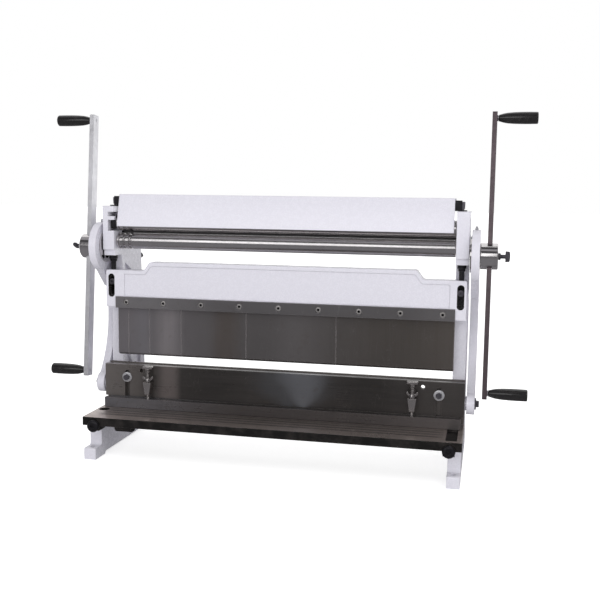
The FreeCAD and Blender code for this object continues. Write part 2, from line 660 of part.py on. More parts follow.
def clamp_screws():
    """Nine socket screws through the bar and the dies into the beam."""
    front = "-Dims.die_front - Dims.clamp_thick"
    solids = []
    for x in clamp_screw_places():
        place = (x, "Places.clamp_line")
        head = rod("clamp_head", "Y", "%s + 0.3" % front, "%s + 8" % front, place, "6.5")
        shank = rod("clamp_shank", "Y", "%s + 7" % front, "Dims.upper_beam_back - 5", place, "4")
        socket = rod("clamp_socket", "Y", "%s - 1" % front, "%s + 5" % front, place, "3")
        solids.append(cut("clamp_screw", join("clamp_screw_body", [head, shank]), [socket]))
    node("clamp_screws", group("clamp_screws", solids))


DIE_WIDTHS = [1, 2, 3, 6, 8, 10]


def finger_dies():
    """Six straight fingers whose widths add up to the whole brake length."""
    total = sum(DIE_WIDTHS)
    done = 0
    low = "Places.die_tip"
    tip = "Dims.die_thick / 2"
    notches = []
    for x in clamp_screw_places():
        notches.append(rod("die_notch", "Y", "-Dims.die_front - 1", "Places.die_back + 1", (x, "Places.clamp_line"), "4.6"))
        notches.append(box("die_notch_run", ("%s - 4.6" % x, "%s + 4.6" % x), ("-Dims.die_front - 1", "Places.die_back + 1"),
                           ("Places.clamp_line", "Places.die_top + 1")))
    for width in DIE_WIDTHS:
        start = "-Places.die_length / 2 + Places.die_length * %d / %d + 0.1" % (done, total)
        points = [("-Dims.die_front + %s" % tip, low), ("Places.die_back", "%s + %s" % (low, tip)),
                  ("Places.die_back", "Places.die_top"), ("-Dims.die_front", "Places.die_top"),
                  ("-Dims.die_front", "%s + %s" % (low, tip))]
        blank = outline("finger_blank_%d" % width, "X", start,
                        "Places.die_length * %d / %d - 0.2" % (width, total), points)
        name = "finger_die_%din" % width
        node(name, cut(name, blank, notches))
        done += width


def beam_bolts():
    """Two cap screws through the beam's end slots into the columns."""
    place = ("Places.lug_middle", "Places.slot_top - 18")
    head = rod("beam_bolt_head", "Y", "-Dims.beam_front + 2.5", "-Dims.beam_front + 11.7", place, "6.9")
    shank = rod("beam_bolt_shank", "Y", "-Dims.beam_front + 11", "Dims.column_front + 22", place, "5")
    socket = rod("beam_bolt_socket", "Y", "-Dims.beam_front", "-Dims.beam_front + 7", place, "3.4")
    node("beam_bolts", both("beam_bolts", cut("beam_bolt", join("beam_bolt_body", [head, shank]), [socket])))


def jack_screws():
    """Square-shouldered screws between the lugs and the heads that set the beam's height."""
    place = ("Places.lug_middle", "-2")
    head = turned("jack_head", "Z", place, [
        ("Places.head_bottom - 8.3", "Dims.jack_head / 2 - 1"), ("Places.head_bottom - 7.3", "Dims.jack_head / 2"),
        ("Places.head_bottom - 0.3", "Dims.jack_head / 2")])
    shank = rod("jack_shank", "Z", "Places.slot_top + 2", "Places.head_bottom - 7", place, "6")
    collar = rod("jack_collar", "Z", "Places.head_bottom - 14", "Places.head_bottom - 7", place, "8")
    screw = join("jack_screw", [head, shank, collar])
    node("jack_screw_right", screw)
    node("jack_screw_left", mirrored("jack_screw_left", screw))


# ---------------------------------------------------------------------------------------------
# Bed that rises: beam, plate, blade and hold-down
# ---------------------------------------------------------------------------------------------
BED_ENDS = ("-Places.bed_end", "Places.bed_end")


def moving_beam():
    """Lower die beam: a bar with a vee along its top and tongues that run between the frames."""
    bar = box("beam_bar", BED_ENDS, ("Places.plate_back", "Dims.beam_back"), ("Places.beam_bottom", "Places.plate_top"))
    tongue = box("beam_tongue", ("Places.inner - 0.4 - Dims.guide_width", "Places.inner - 0.4"),
                 ("Dims.beam_back - 1", "Dims.beam_back + 28"), ("Places.beam_bottom + 5", "Places.plate_top - 7"))
    rib = box("beam_rib", ("-Places.inner + 10", "Places.inner - 10"), ("Dims.beam_back - 1", "Dims.beam_back + 10"),
              ("Places.pivot_z - 8", "Places.pivot_z + 8"))
    solid = join("beam_solid", [bar, tongue, mirrored("beam_tongue_left", tongue), rib])
    vee = outline("beam_vee", "X", "-Places.bed_end - 1", "2 * Places.bed_end + 2", [
        ("Places.vee_middle", "Places.plate_top - Dims.vee_depth"),
        ("Places.vee_middle + Dims.vee_width / 2 + 1", "Places.plate_top + Dims.vee_depth * 2 / Dims.vee_width"),
        ("Places.vee_middle - Dims.vee_width / 2 - 1", "Places.plate_top + Dims.vee_depth * 2 / Dims.vee_width")])
    bolt = rod("pivot_bore", "X", "Places.bed_end - 24", "Places.bed_end + 1", ("0", "Places.pivot_z"), "Dims.pivot_size / 2")
    thread = rod("plate_thread", "Y", "Places.plate_back - 1", "Places.plate_back + 16",
                 ("Places.bed_end - Dims.slot_bolt_in", "Places.pivot_z + 18"), "4.8")
    sight = rod("sight_hole", "Y", "Places.plate_back - 1", "Dims.beam_back + 1",
                ("Places.inner - 60", "Places.plate_top - 18"), "9")
    node("moving_beam", cut("moving_beam", solid, [
        vee, bolt, mirrored("pivot_bore_left", bolt), thread, mirrored("plate_thread_left", thread), sight]))


def front_plate():
    """Ground plate on the beam's front face, with open slots for its bolts."""
    plate = box("plate_blank", BED_ENDS, ("-Dims.plate_front", "Places.plate_back"), ("Places.plate_bottom", "Places.plate_top"))
    through = ("-Dims.plate_front - 1", "Places.plate_back + 1")
    slot_x = "Places.bed_end - Dims.slot_bolt_in"
    slot_top = "Places.pivot_z + 28"
    half = "Dims.slot_width / 2"
    slot = [rod("plate_slot_top", "Y", through[0], through[1], (slot_x, slot_top), half),
            box("plate_slot_run", ("%s - %s" % (slot_x, half), "%s + %s" % (slot_x, half)), through,
                ("Places.plate_bottom - 1", slot_top))]
    hole = rod("plate_hole", "Y", through[0], through[1], ("Places.inner - 60", "Places.plate_top - 13"), "4.5")
    bracket = rod("bracket_thread", "Y", through[0], through[1], ("Places.bed_end - Dims.hold_screw_in", "Places.pivot_z"), "3")
    cuts = slot + [hole, bracket]
    node("front_plate", cut("front_plate", plate, cuts + [mirrored("plate_cut_left", piece) for piece in cuts]))


def plate_bolts():
    """Hexagon-socket bolts and their bright washers in the plate's slots."""
    place = ("Places.bed_end - Dims.slot_bolt_in", "Places.pivot_z + 18")
    front = "-Dims.plate_front"
    washer = cut("plate_washer", rod("washer_disc", "Y", "%s - 2.5" % front, front, place, "Dims.washer_size / 2"),
                 [rod("washer_bore", "Y", "%s - 4" % front, "%s + 1" % front, place, "4.8")])
    node("plate_washers", both("plate_washers", washer))
    head = turned("plate_bolt_head", "Y", place, [
        ("%s - 10" % front, "6"), ("%s - 9" % front, "7"), ("%s - 2.5" % front, "7")])
    shank = rod("plate_bolt_shank", "Y", "%s - 3" % front, "Places.plate_back + 15", place, "4.8")
    socket = rod("plate_bolt_socket", "Y", "%s - 11" % front, "%s - 6" % front, place, "3.5")
    node("plate_bolts", both("plate_bolts", cut("plate_bolt", join("plate_bolt_body", [head, shank]), [socket])))


def upper_shear_blade():
    """Blade on the beam's front below the plate; at rest it overlaps the lower blade."""
    node("upper_shear_blade", box(
        "upper_shear_blade", ("-Places.inner - 16", "Places.inner + 16"),
        ("-Dims.table_back + Dims.lower_blade_thick + Dims.blade_clear", "Places.plate_back"),
        ("Dims.table_top - Dims.blade_overlap", "Places.plate_bottom")))


HOLD_X = "(Places.bed_end - Dims.hold_screw_in)"


def hold_down():
    """Hold-down bar on two spring studs, the brackets that guide them, and their wing nuts."""
    bar = box("hold_bar_blank", ("-Places.bed_end + Dims.bar_short", "Places.bed_end - Dims.bar_short"),
              ("Places.hold_y - 6", "Places.hold_y + 6"), ("Places.bar_low", "Places.bar_high"))
    stud_hole = rod("hold_stud_hole", "Z", "Places.bar_high - 12", "Places.bar_high + 1", (HOLD_X, "Places.hold_y"),
                    "Dims.hold_stud / 2")
    node("hold_down_bar", cut("hold_down_bar", bar, [stud_hole, mirrored("hold_stud_hole_left", stud_hole)]))
    place = (HOLD_X, "Places.hold_y")
    stud = rod("hold_stud", "Z", "Places.bar_high - 12", "Places.plate_top - 4", place, "Dims.hold_stud / 2")
    cap = box("stud_cap", ("%s - 12" % HOLD_X, "%s + 12" % HOLD_X), ("Places.hold_y - 4.8", "Places.hold_y + 4.8"),
              ("Places.plate_top - 5.5", "Places.plate_top + 1.5"))
    cap_round = rod("stud_cap_round", "Z", "Places.plate_top - 8", "Places.plate_top - 5", place, "6")
    rounded = bevel("stud_cap_soft", cap, 2.2, lambda edge: abs(edge.tangentAt(0).x) < 0.5)
    node("hold_down_studs", both("hold_down_studs", join("hold_stud_whole", [stud, rounded, cap_round])))
    high = "Places.pivot_z + 12"
    low = "Places.plate_bottom + 11"
    wedge = outline("bracket_wedge", "Y", "Places.hold_y - 8", "-Dims.plate_front - Places.hold_y + 8",
                    [("%s - 5.5" % HOLD_X, low), ("%s + 5.5" % HOLD_X, low), ("%s + 9.5" % HOLD_X, high),
                     ("%s - 9.5" % HOLD_X, high)])
    bore = rod("bracket_bore", "Z", "%s - 1" % low, "%s + 1" % high, place, "Dims.hold_stud / 2 + 0.3")
    peg = rod("bracket_peg", "Y", "-Dims.plate_front - 1", "Places.plate_back - 0.5", (HOLD_X, "Places.pivot_z"), "3")
    node("hold_down_brackets", both("hold_down_brackets", cut("bracket", join("bracket_body", [wedge, peg]), [bore])))
    nut_low = "%s + 0.3" % high
    hub = turned("nut_hub", "Z", place, [(nut_low, "6.3"), ("%s + 9" % nut_low, "5.8")])
    wing = outline("nut_wing", "Y", "Places.hold_y - 2.2", "4.4",
                   [("%s + 4" % HOLD_X, "%s + 1" % nut_low), ("%s + 8" % HOLD_X, "%s + 3" % nut_low),
                    ("%s + 13" % HOLD_X, "%s + 8" % nut_low), ("%s + 13" % HOLD_X, "%s + 14" % nut_low),
                    ("%s + 8.5" % HOLD_X, "%s + 14" % nut_low), ("%s + 5.5" % HOLD_X, "%s + 8" % nut_low)],
                   [(2, 2), (3, 2), (4, 2)])
    other = fresh("Part::Mirroring", "nut_wing_other")
    other.Source = wing
    other.Normal = Vector(1, 0, 0)
    other.setExpression("Base.x", HOLD_X)
    nut_bore = rod("nut_bore", "Z", "%s - 1" % nut_low, "%s + 15" % nut_low, place, "Dims.hold_stud / 2 + Dims.running_fit")
    nut = cut("wing_nut", join("nut_body", [hub, wing, other]), [nut_bore])
    node("wing_nut_right", nut)
    node("wing_nut_left", mirrored("wing_nut_left", nut))


def hold_down_springs():
    """Small compression springs between the wing nuts and the studs' caps."""
    low = "Places.pivot_z + 12.3 + 9.2 + Dims.spring_wire / 2"
    high = "Places.plate_top - 8.2 - Dims.spring_wire / 2"
    helix = fresh("Part::Helix", "spring_path")
    helix.setExpression("Height", "(%s) - (%s)" % (high, low))
    helix.setExpression("Pitch", "((%s) - (%s)) / 4" % (high, low))
    helix.setExpression("Radius", "(Dims.hold_stud + Dims.spring_wire) / 2 + 0.35")
    helix.SegmentLength = 0.5
    wire = fresh("Part::Circle", "spring_wire")
    wire.Placement = Placement(Vector(), Rotation(Vector(1, 0, 0), 90))
    wire.setExpression("Radius", "Dims.spring_wire / 2")
    wire.setExpression("Placement.Base.x", "(Dims.hold_stud + Dims.spring_wire) / 2 + 0.35")
    coil = fresh("Part::Sweep", "spring_coil")
    coil.Sections = [wire]
    helix.Document.recompute()
    coil.Spine = (helix, ["Edge%d" % (k + 1) for k in range(len(helix.Shape.Edges))])
    coil.Solid = True
    coil.Frenet = True
    seat(coil, HOLD_X, "Places.hold_y", low)
    node("hold_down_spring_right", coil)
    node("hold_down_spring_left", mirrored("hold_down_spring_left", coil))


# ---------------------------------------------------------------------------------------------
# Rolls, blocks and gears
# ---------------------------------------------------------------------------------------------
def gear(name, z, bore, phase):
    """Spur gear: a root disc, one straight-sided tooth and its polar pattern, bored for a shaft."""
    body = fresh("PartDesign::Body", name + "_blank")
    start = "Places.gear_pocket + 1"
    root = "(Dims.roll_size / 2 + Dims.roll_gap / 2 - 1.2 * Places.gear_module)"
    disc = body.newObject("Sketcher::SketchObject", name + "_disc")
    disc.AttachmentSupport = [([f for f in body.Origin.OriginFeatures if f.Role == "YZ_Plane"][0], "")]
    disc.MapMode = "FlatFace"
    disc.setExpression("AttachmentOffset.Base.z", start)
    disc.addGeometry(Part.Circle(Vector(), Vector(0, 0, 1), 18))
    disc.addConstraint(Sketcher.Constraint("Coincident", 0, 3, -1, 1))
    number = disc.addConstraint(Sketcher.Constraint("Radius", 0, 18))
    disc.setExpression("Constraints[%d]" % number, root)
    padded(body, name + "_root", disc, "Dims.gear_face")
    half = "%s * sin(%s * 360 deg / Dims.gear_teeth)"
    up = "%s * cos(%s * 360 deg / Dims.gear_teeth)"
    inner_corner = (half % (root, 0.31), "%s - 1" % root)
    shoulder = (half % (root, 0.31), up % (root, 0.31))
    crest = (half % ("Places.gear_outer", 0.11), up % ("Places.gear_outer", 0.11))
    right_side = [inner_corner, shoulder, crest]
    left_side = [("-(%s)" % across, along) for across, along in reversed(right_side)]
    tooth = padded(body, name + "_tooth", polygon_sketch(body, name + "_tooth", "X", start, right_side + left_side),
                   "Dims.gear_face")
    pattern = body.newObject("PartDesign::PolarPattern", name + "_teeth")
    pattern.Originals = [tooth]
    pattern.Axis = ([f for f in body.Origin.OriginFeatures if f.Role == "X_Axis"][0], [""])
    pattern.Angle = 360
    pattern.setExpression("Occurrences", "Dims.gear_teeth")
    body.Tip = pattern
    body.Placement = Placement(Vector(), Rotation(Vector(1, 0, 0), 5))
    body.setExpression("Placement.Rotation.Angle", "%s * 360 / Dims.gear_teeth" % phase)
    body.setExpression("Placement.Base.z", z)
    hole = rod(name + "_bore", "X", "Places.gear_pocket", "Places.outer", ("0", z), bore)
    node(name, cut(name, body, [hole]))


def roll_body(z, y="0"):
    """The working length of a roll with three wire grooves near its left end."""
    half = "Dims.roll_size / 2"
    grooves = [("Places.roll_end - 6", 2.0), ("Places.roll_end - 18", 3.0), ("Places.roll_end - 32", 4.0)]
    tube = rod("roll_length", "X", "-Places.roll_end", "Places.roll_end", (y, z), half)
    rings = []
    for place, depth in grooves:
        ring = fresh("Part::Torus", "wire_groove")
        ring.Placement = Placement(Vector(), TURN["X"])
        ring.setExpression("Radius1", half)
        ring.setExpression("Radius2", str(depth))
        seat(ring, "-(%s)" % place, y, z)
        rings.append(ring)
    return cut("grooved_roll", tube, rings)


def lower_roll():
    """Driven roll; its journals carry the gear, pass through the sheaves and end in the hubs."""
    z = "Places.lower_z"
    ends = "Places.hub_in + 10"
    shaft = rod("lower_shaft", "X", "-(%s)" % ends, ends, ("0", z), "Dims.journal_size / 2")
    node("lower_roll", join("lower_roll", [roll_body(z), shaft]))


def upper_roll():
    """Idling roll above it, turned by the second gear."""
    z = "Places.upper_z"
    shaft = rod("upper_shaft", "X", "-Places.inner - 12", "Places.gear_pocket", ("0", z), "Dims.upper_journal_size / 2")
    seat_end = rod("gear_seat", "X", "Places.inner", "Places.outer - 1.5", ("0", z), "8")
    node("upper_roll", join("upper_roll", [roll_body(z), shaft, seat_end]))


def upper_roll_blocks():
    """Bearing blocks of the upper roll, which slide in the heads."""
    half = "Dims.block_width / 2"
    blank = box("upper_block", ("Places.inner + 0.6", "Places.inner + 12.4"), ("-(%s)" % half, half),
                ("Places.upper_z - 14", "Places.upper_z + 14"))
    bore = rod("upper_block_bore", "X", "Places.inner", "Places.outer", ("0", "Places.upper_z"),
               "Dims.upper_journal_size / 2 + Dims.running_fit")
    node("upper_roll_blocks", both("upper_roll_blocks", cut("block", blank, [bore])))


def upper_roll_screws():
    """Knurled screws in the tops of the heads that set the upper roll's height."""
    place = ("Places.screw_x", "Places.screw_y")
    top = "Places.head_top"
    profile = [("Places.upper_z + 14", "4"), ("%s + 4" % top, "4"), ("%s + 5.5" % top, "5.2"),
               ("%s + 18.5" % top, "6.2"), ("%s + 20" % top, "5.4")]
    node("upper_roll_screws", both("upper_roll_screws", turned("roll_screw", "Z", place, profile)))


def rear_roll():
    """Bending roll behind the pair, on plain journals."""
    y = "Dims.rear_roll_back"
    z = "Places.rear_z"
    tube = rod("rear_length", "X", "-Places.roll_end", "Places.roll_end", (y, z), "Dims.roll_size / 2")
    shaft = rod("rear_shaft", "X", "-Places.inner - 12", "Places.inner + 12", (y, z), "Dims.upper_journal_size / 2")
    node("rear_roll", join("rear_roll", [tube, shaft]))


def rear_roll_blocks():
    """Sliding blocks of the bending roll, set to the slope of their screws."""
    start = "Places.inner + 0.6"
    blank = box("rear_block", (start, "Places.inner + 13"), ("0", "Dims.block_width"), ("0", "Dims.block_width"))
    slanted(blank, start, "Dims.block_width / 2", "Dims.block_width / 2")
    bore = rod("rear_bore", "X", "Places.inner", "Places.outer", ("Dims.rear_roll_back", "Places.rear_z"),
               "Dims.upper_journal_size / 2 + Dims.running_fit")
    node("rear_roll_blocks", both("rear_roll_blocks", cut("rear_block", blank, [bore])))


def rear_roll_screws():
    """Long adjusting screws from the backs of the frames into the sliding blocks."""
    x = "Places.inner + 7"
    shank = rear_screw_hole("Dims.block_width / 2", "106", x, "4")
    head = rear_screw_hole("Dims.block_width / 2 + 99", "8", x, "6")
    node("rear_roll_screws", both("rear_roll_screws", join("rear_screw", [shank, head])))


# ---------------------------------------------------------------------------------------------
# Arms, sheaves, hubs and cranks
# ---------------------------------------------------------------------------------------------
def link_arms():
    """Bowed arms from the eccentrics down to the bed's ends.

    The shank is part of a ring through both eyes that stands arm_bow behind their line.
    """
    chord = "(Places.hub_z - Places.pivot_z)"
    radius = "(%s * %s / 8 / Dims.arm_bow + Dims.arm_bow / 2)" % (chord, chord)
    centre = ("Dims.arm_bow - %s" % radius, "(Places.hub_z + Places.pivot_z) / 2")
    start, end = "Places.arm_in", "Places.arm_out"
    ring = cut("arm_ring", rod("ring_outer", "X", start, end, centre, "%s + Dims.arm_width / 2" % radius),
               [rod("ring_inner", "X", "%s - 1" % start, "%s + 1" % end, centre, "%s - Dims.arm_width / 2" % radius)])
    window = box("arm_window", (start, end), ("-15", "Dims.arm_bow + Dims.arm_width"), ("Places.pivot_z", "Places.hub_z"))
    shank = common("arm_shank", ring, window)
    big = rod("arm_big", "X", start, end, ("0", "Places.hub_z"), "Dims.arm_big_end / 2")
    small = rod("arm_small", "X", start, end, ("0", "Places.pivot_z"), "Dims.arm_small_end / 2")
    boss = rod("arm_boss", "X", "Places.bed_end", start, ("0", "Places.pivot_z"), "Dims.pivot_size / 2 + 8")
    web = outline("arm_web", "X", start, "Dims.arm_thick", [
        ("-Dims.arm_big_end / 4", "Places.hub_z - Dims.arm_big_end * 0.38"),
        ("Dims.arm_bow * 0.45", "Places.hub_z - Dims.arm_big_end * 0.85"),
        ("Dims.arm_bow + 10", "Places.hub_z - Dims.arm_big_end * 0.8"),
        ("Dims.arm_big_end * 0.45", "Places.hub_z - 8")])
    solid = join("arm_solid", [big, small, shank, boss, web])
    holes = [rod("sheave_seat", "X", "%s - 1" % start, "%s + 1" % end, ("0", "Places.hub_z"), "Dims.sheave_size / 2"),
             rod("pivot_seat", "X", "Places.bed_end - 1", "%s + 1" % end, ("0", "Places.pivot_z"), "Dims.pivot_size / 2"),
             rod("oil_hole", "Z", "Places.hub_z + Dims.sheave_size / 2 - 2", "Places.hub_z + Dims.arm_big_end / 2 + 1",
                 ("(Places.arm_in + Places.arm_out) / 2", "0"), "2.4")]
    arm = cut("link_arm", solid, holes)
    node("link_arm_right", arm)
    node("link_arm_left", mirrored("link_arm_left", arm))


def oil_nipples():
    """Oil cups on top of the arms' big ends."""
    place = ("(Places.arm_in + Places.arm_out) / 2", "0")
    top = "Places.hub_z + Dims.arm_big_end / 2"
    profile = [("%s - 8" % top, "2.4"), ("%s - 0.3" % top, "2.4"), ("%s + 2" % top, "3.6"), ("%s + 5" % top, "3"),
               ("%s + 7" % top, "1.8")]
    node("oil_nipples", both("oil_nipples", turned("oil_nipple", "Z", place, profile)))


def eccentric_sheaves():
    """Discs in the arms' big ends, each with an upright slot that the roll's journal stands in."""
    disc = rod("sheave_disc", "X", "Places.outer + 2", "Places.arm_out + 0.2", ("0", "Places.hub_z"), "Dims.sheave_size / 2")
    half = "Dims.journal_size / 2 + 1"
    through = ("Places.outer", "Places.arm_out + 2")
    high = "Places.lower_z + 0.5"
    low = "Places.hub_z - Dims.eccentric_throw - 0.5"
    cuts = [rod("slot_high", "X", through[0], through[1], ("0", high), half),
            rod("slot_low", "X", through[0], through[1], ("0", low), half),
            box("slot_run", through, ("-(%s)" % half, half), (low, high))]
    node("eccentric_sheaves", both("eccentric_sheaves", cut("sheave", disc, cuts)))


def pivot_bolts():
    """Flanged bolts that pin the arms to the ends of the moving beam."""
    place = ("0", "Places.pivot_z")
    shank = rod("pivot_shank", "X", "Places.bed_end - 22", "Places.arm_out + 1", place, "Dims.pivot_size / 2")
    flange = rod("pivot_flange", "X", "Places.arm_out", "Places.arm_out + 3", place, "12.5")
    head = turned("pivot_head", "X", place, [
        ("Places.arm_out + 2", "7.5"), ("Places.arm_out + 8", "7.5"), ("Places.arm_out + 9", "6.5")])
    node("pivot_bolts", both("pivot_bolts", join("pivot_bolt", [shank, flange, head])))


def crank_hubs():
    """Turned hubs set off from the roll's axis, each cross-bored for a flat crank bar."""
    middle = ("0", "Places.hub_z")
    blank = turned("hub_blank", "X", middle, [
        ("Places.hub_in", "Dims.hub_size / 2 - 1.2"), ("Places.hub_in + 1.2", "Dims.hub_size / 2"),
        ("Places.hub_out - 1.5", "Dims.hub_size / 2"), ("Places.hub_out", "Dims.hub_size / 2 - 1.5")])
    journal = rod("hub_bore", "X", "Places.hub_in - 1", "Places.hub_in + 10", ("0", "Places.lower_z"), "Dims.journal_size / 2")
    slot = crank_flat("hub_slot", "0.3", "Dims.hub_size")
    thread = rod("hub_thread", "X", "Places.bar_out - 1", "Places.hub_out + 1", middle, "4 + Dims.running_fit")
    hub = cut("crank_hub", blank, [journal, slot, thread])
    node("crank_hub_right", hub)
    node("crank_hub_left", mirrored("crank_hub_left", hub))


def crank_flat(name, clearance, length):
    """A flat bar through the hub's middle, tilted forward at its foot."""
    item = fresh("Part::Box", name)
    item.setExpression("Length", "Dims.bar_thick + 2 * %s" % clearance)
    item.setExpression("Width", "Dims.bar_width + 2 * %s" % clearance)
    item.setExpression("Height", length)
    tilt_to_crank(item, "Places.bar_in - %s" % clearance, "Dims.bar_width / 2 + %s" % clearance, "%s / 2" % length)
    return item


def tilt_to_crank(item, x, across, along):
    """Tilts an upright piece by bar_tilt and seats it about the hub's centre."""
    tilt = "Dims.bar_tilt * 1 deg"
    item.Placement = Placement(Vector(), Rotation(Vector(-1, 0, 0), 5))
    item.setExpression("Placement.Rotation.Angle", "Dims.bar_tilt")
    item.setExpression("Placement.Rotation.Axis.x", "-1")
    seat(item, x,
         "-(%s) * cos(%s) - (%s) * sin(%s)" % (across, tilt, along, tilt),
         "Places.hub_z + (%s) * sin(%s) - (%s) * cos(%s)" % (across, tilt, along, tilt))


def grip_centre(end):
    """Y and Z of a grip's axis, end +1 for the upper end of the bar and -1 for the lower."""
    reach = "(Dims.bar_length / 2 - Dims.grip_inset)"
    tilt = "Dims.bar_tilt * 1 deg"
    return ("%d * %s * sin(%s)" % (end, reach, tilt), "Places.hub_z + %d * %s * cos(%s)" % (end, reach, tilt))


def crank_bars():
    """Flat crank bars with tapped holes for the grip bolts."""
    bar = crank_flat("crank_flat", "0", "Dims.bar_length")
    doc.recompute()
    soft = bevel("crank_soft", bar, 1.5, lambda edge: abs(edge.tangentAt(0).x) > 0.9)
    holes = [rod("grip_thread", "X", "Places.bar_in - 1", "Places.bar_out + 1", grip_centre(end), "4") for end in (1, -1)]
    whole = cut("crank_bar", soft, holes)
    node("crank_bar_right", whole)
    node("crank_bar_left", mirrored("crank_bar_left", whole))


def grip_parts():
    """Shoulder bolts and the tapered grips that turn on them."""
    bolts = []
    start = "Places.bar_out"
    tip = "%s + Dims.grip_length" % start
    for end, place in (("upper", grip_centre(1)), ("lower", grip_centre(-1))):
        shank = rod("grip_shank", "X", "Places.bar_in + 0.5", "%s - 5" % tip, place, "4")
        collar = rod("grip_collar", "X", start, "%s + 2.2" % start, place, "6.5")
        head = rod("grip_head", "X", "%s - 7" % tip, "%s - 2.5" % tip, place, "7")
        bolts.append(join("grip_bolt", [shank, collar, head]))
        full = "Dims.grip_size / 2"
        body = turned("grip_body", "X", place, [
            ("%s + 2.5" % start, "6"), ("%s + 4" % start, "7.5"), ("%s + 8" % start, "7.8"), ("%s + 11" % start, "9.2"),
            ("%s + 22" % start, "%s - 1.2" % full), ("%s + 46" % start, full), ("%s - 2.5" % tip, full),
            (tip, "%s - 2" % full)])
        bore = rod("grip_bore", "X", start, "%s - 6.7" % tip, place, "4 + Dims.running_fit")
        room = rod("grip_room", "X", "%s - 7.3" % tip, "%s + 1" % tip, place, "7 + Dims.running_fit")
        grip = cut("grip", body, [bore, room])
        node("grip_right_%s" % end, grip)
        node("grip_left_%s" % end, mirrored("grip_left", grip))
    pair = group("grip_bolts_right", bolts)
    node("grip_bolts_right", pair)
    node("grip_bolts_left", group("grip_bolts_left", [mirrored("grip_bolt_left", bolt) for bolt in bolts]))


def lock_screws():
    """Thumb screws in the hubs' ends that nip the crank bars."""
    middle = ("0", "Places.hub_z")
    out = "Places.hub_out"
    stem = turned("lock_stem", "X", middle, [
        ("Places.bar_out + 0.4", "4"), ("%s + 0.3" % out, "4"), ("%s + 0.31" % out, "7.2"), ("%s + 5" % out, "7.2"),
        ("%s + 5.01" % out, "4.5"), ("%s + 17" % out, "4.5")])
    disc = rod("lock_tab", "Y", "-3.5", "3.5", ("%s + 18" % out, "Places.hub_z"), "Dims.knob_size / 2")
    trim = box("lock_trim", ("%s + 14.5" % out, "%s + 24.5" % out), ("-5", "5"),
               ("Places.hub_z - Dims.knob_size", "Places.hub_z + Dims.knob_size"))
    node("lock_screw_right", join("lock_screw_right", [stem, common("lock_head", disc, trim)]))
    left_stem = mirrored("lock_stem_left", stem)
    left_disc = rod("lock_tab_left", "Y", "-3.5", "3.5", ("-(%s) - 18" % out, "Places.hub_z"), "Dims.knob_size / 2")
    left_trim = box("lock_trim_left", ("-(%s) - 24.5" % out, "-(%s) - 14.5" % out), ("-5", "5"),
                    ("Places.hub_z - Dims.knob_size", "Places.hub_z + Dims.knob_size"))
    left_head = common("lock_head_left", left_disc, left_trim)
    left_head.Placement = Placement(Vector(), Rotation(Vector(1, 0, 0), 65))
    left_head.setExpression("Placement.Base.y", "Places.hub_z * sin(65 deg)")
    left_head.setExpression("Placement.Base.z", "Places.hub_z * (1 - cos(65 deg))")
    node("lock_screw_left", join("lock_screw_left", [left_stem, left_head]))


# ---------------------------------------------------------------------------------------------
# Cover over the rolls
# ---------------------------------------------------------------------------------------------
def cover_section():
    """Cover's folded section: hem, leaning front, top and rear lip."""
    low, high = "Places.cover_low", "Places.cover_high"
    front = "-Places.cover_front"
    top_front = "-Places.cover_front + Dims.cover_lean"
    back = "%s + Dims.cover_depth" % top_front
    sheet_thick = "Dims.cover_sheet"
    hem = "%s + 4.5" % front
    return [(front, low), (hem, low), (hem, "%s + %s" % (low, sheet_thick)),
            ("%s + %s" % (front, sheet_thick), "%s + %s" % (low, sheet_thick)),
            ("%s + %s" % (top_front, sheet_thick), "%s - %s" % (high, sheet_thick)),
            ("%s - %s" % (back, sheet_thick), "%s - %s" % (high, sheet_thick)),
            ("%s - %s" % (back, sheet_thick), "%s - 14" % high), (back, "%s - 14" % high), (back, high), (top_front, high)]


def roll_cover():
    """Painted sheet cover, with folded end returns, that hoods the rolls."""
    length = "2 * Places.cover_end"
    panel = outline("cover_panel", "X", "-Places.cover_end", length, cover_section())
    low, high = "Places.cover_low", "Places.cover_high"
    front = "-Places.cover_front"
    top_front = "-Places.cover_front + Dims.cover_lean"
    returns = outline("cover_return", "X", "Places.cover_end - Dims.cover_sheet", "Dims.cover_sheet", [
        ("%s + 0.5" % front, low), ("%s + 2" % front, low), ("%s + 2.6" % top_front, "%s - 1" % high),
        ("%s + 0.5" % top_front, "%s - 1" % high)])
    node("roll_cover", join("roll_cover", [panel, returns, mirrored("cover_return_left", returns)]))


def cover_brackets():
    """Angle brackets that hang the cover from the heads."""
    foot = box("bracket_foot", ("Places.inner + 2", "Places.screw_x + 10"), ("-3", "15"),
               ("Places.head_top", "Places.head_top + 2.5"))
    upright = box("bracket_upright", ("Places.cover_end - 36", "Places.inner + 9"), ("-3", "-0.5"),
                  ("Places.head_top + 0.5", "Places.cover_high - Dims.cover_sheet - 3"))
    rise = box("bracket_rise", ("Places.cover_end - 36", "Places.cover_end - 2"), ("-3", "-0.5"),
               ("Places.cover_high - Dims.cover_sheet - 5", "Places.cover_high - Dims.cover_sheet"))
    hole = rod("bracket_hole", "Z", "Places.head_top - 1", "Places.head_top + 4", ("Places.screw_x", "Places.screw_y"), "4.5")
    solid = join("bracket_solid", [foot, upright, rise])
    node("cover_brackets", both("cover_brackets", cut("cover_bracket", solid, [hole])))


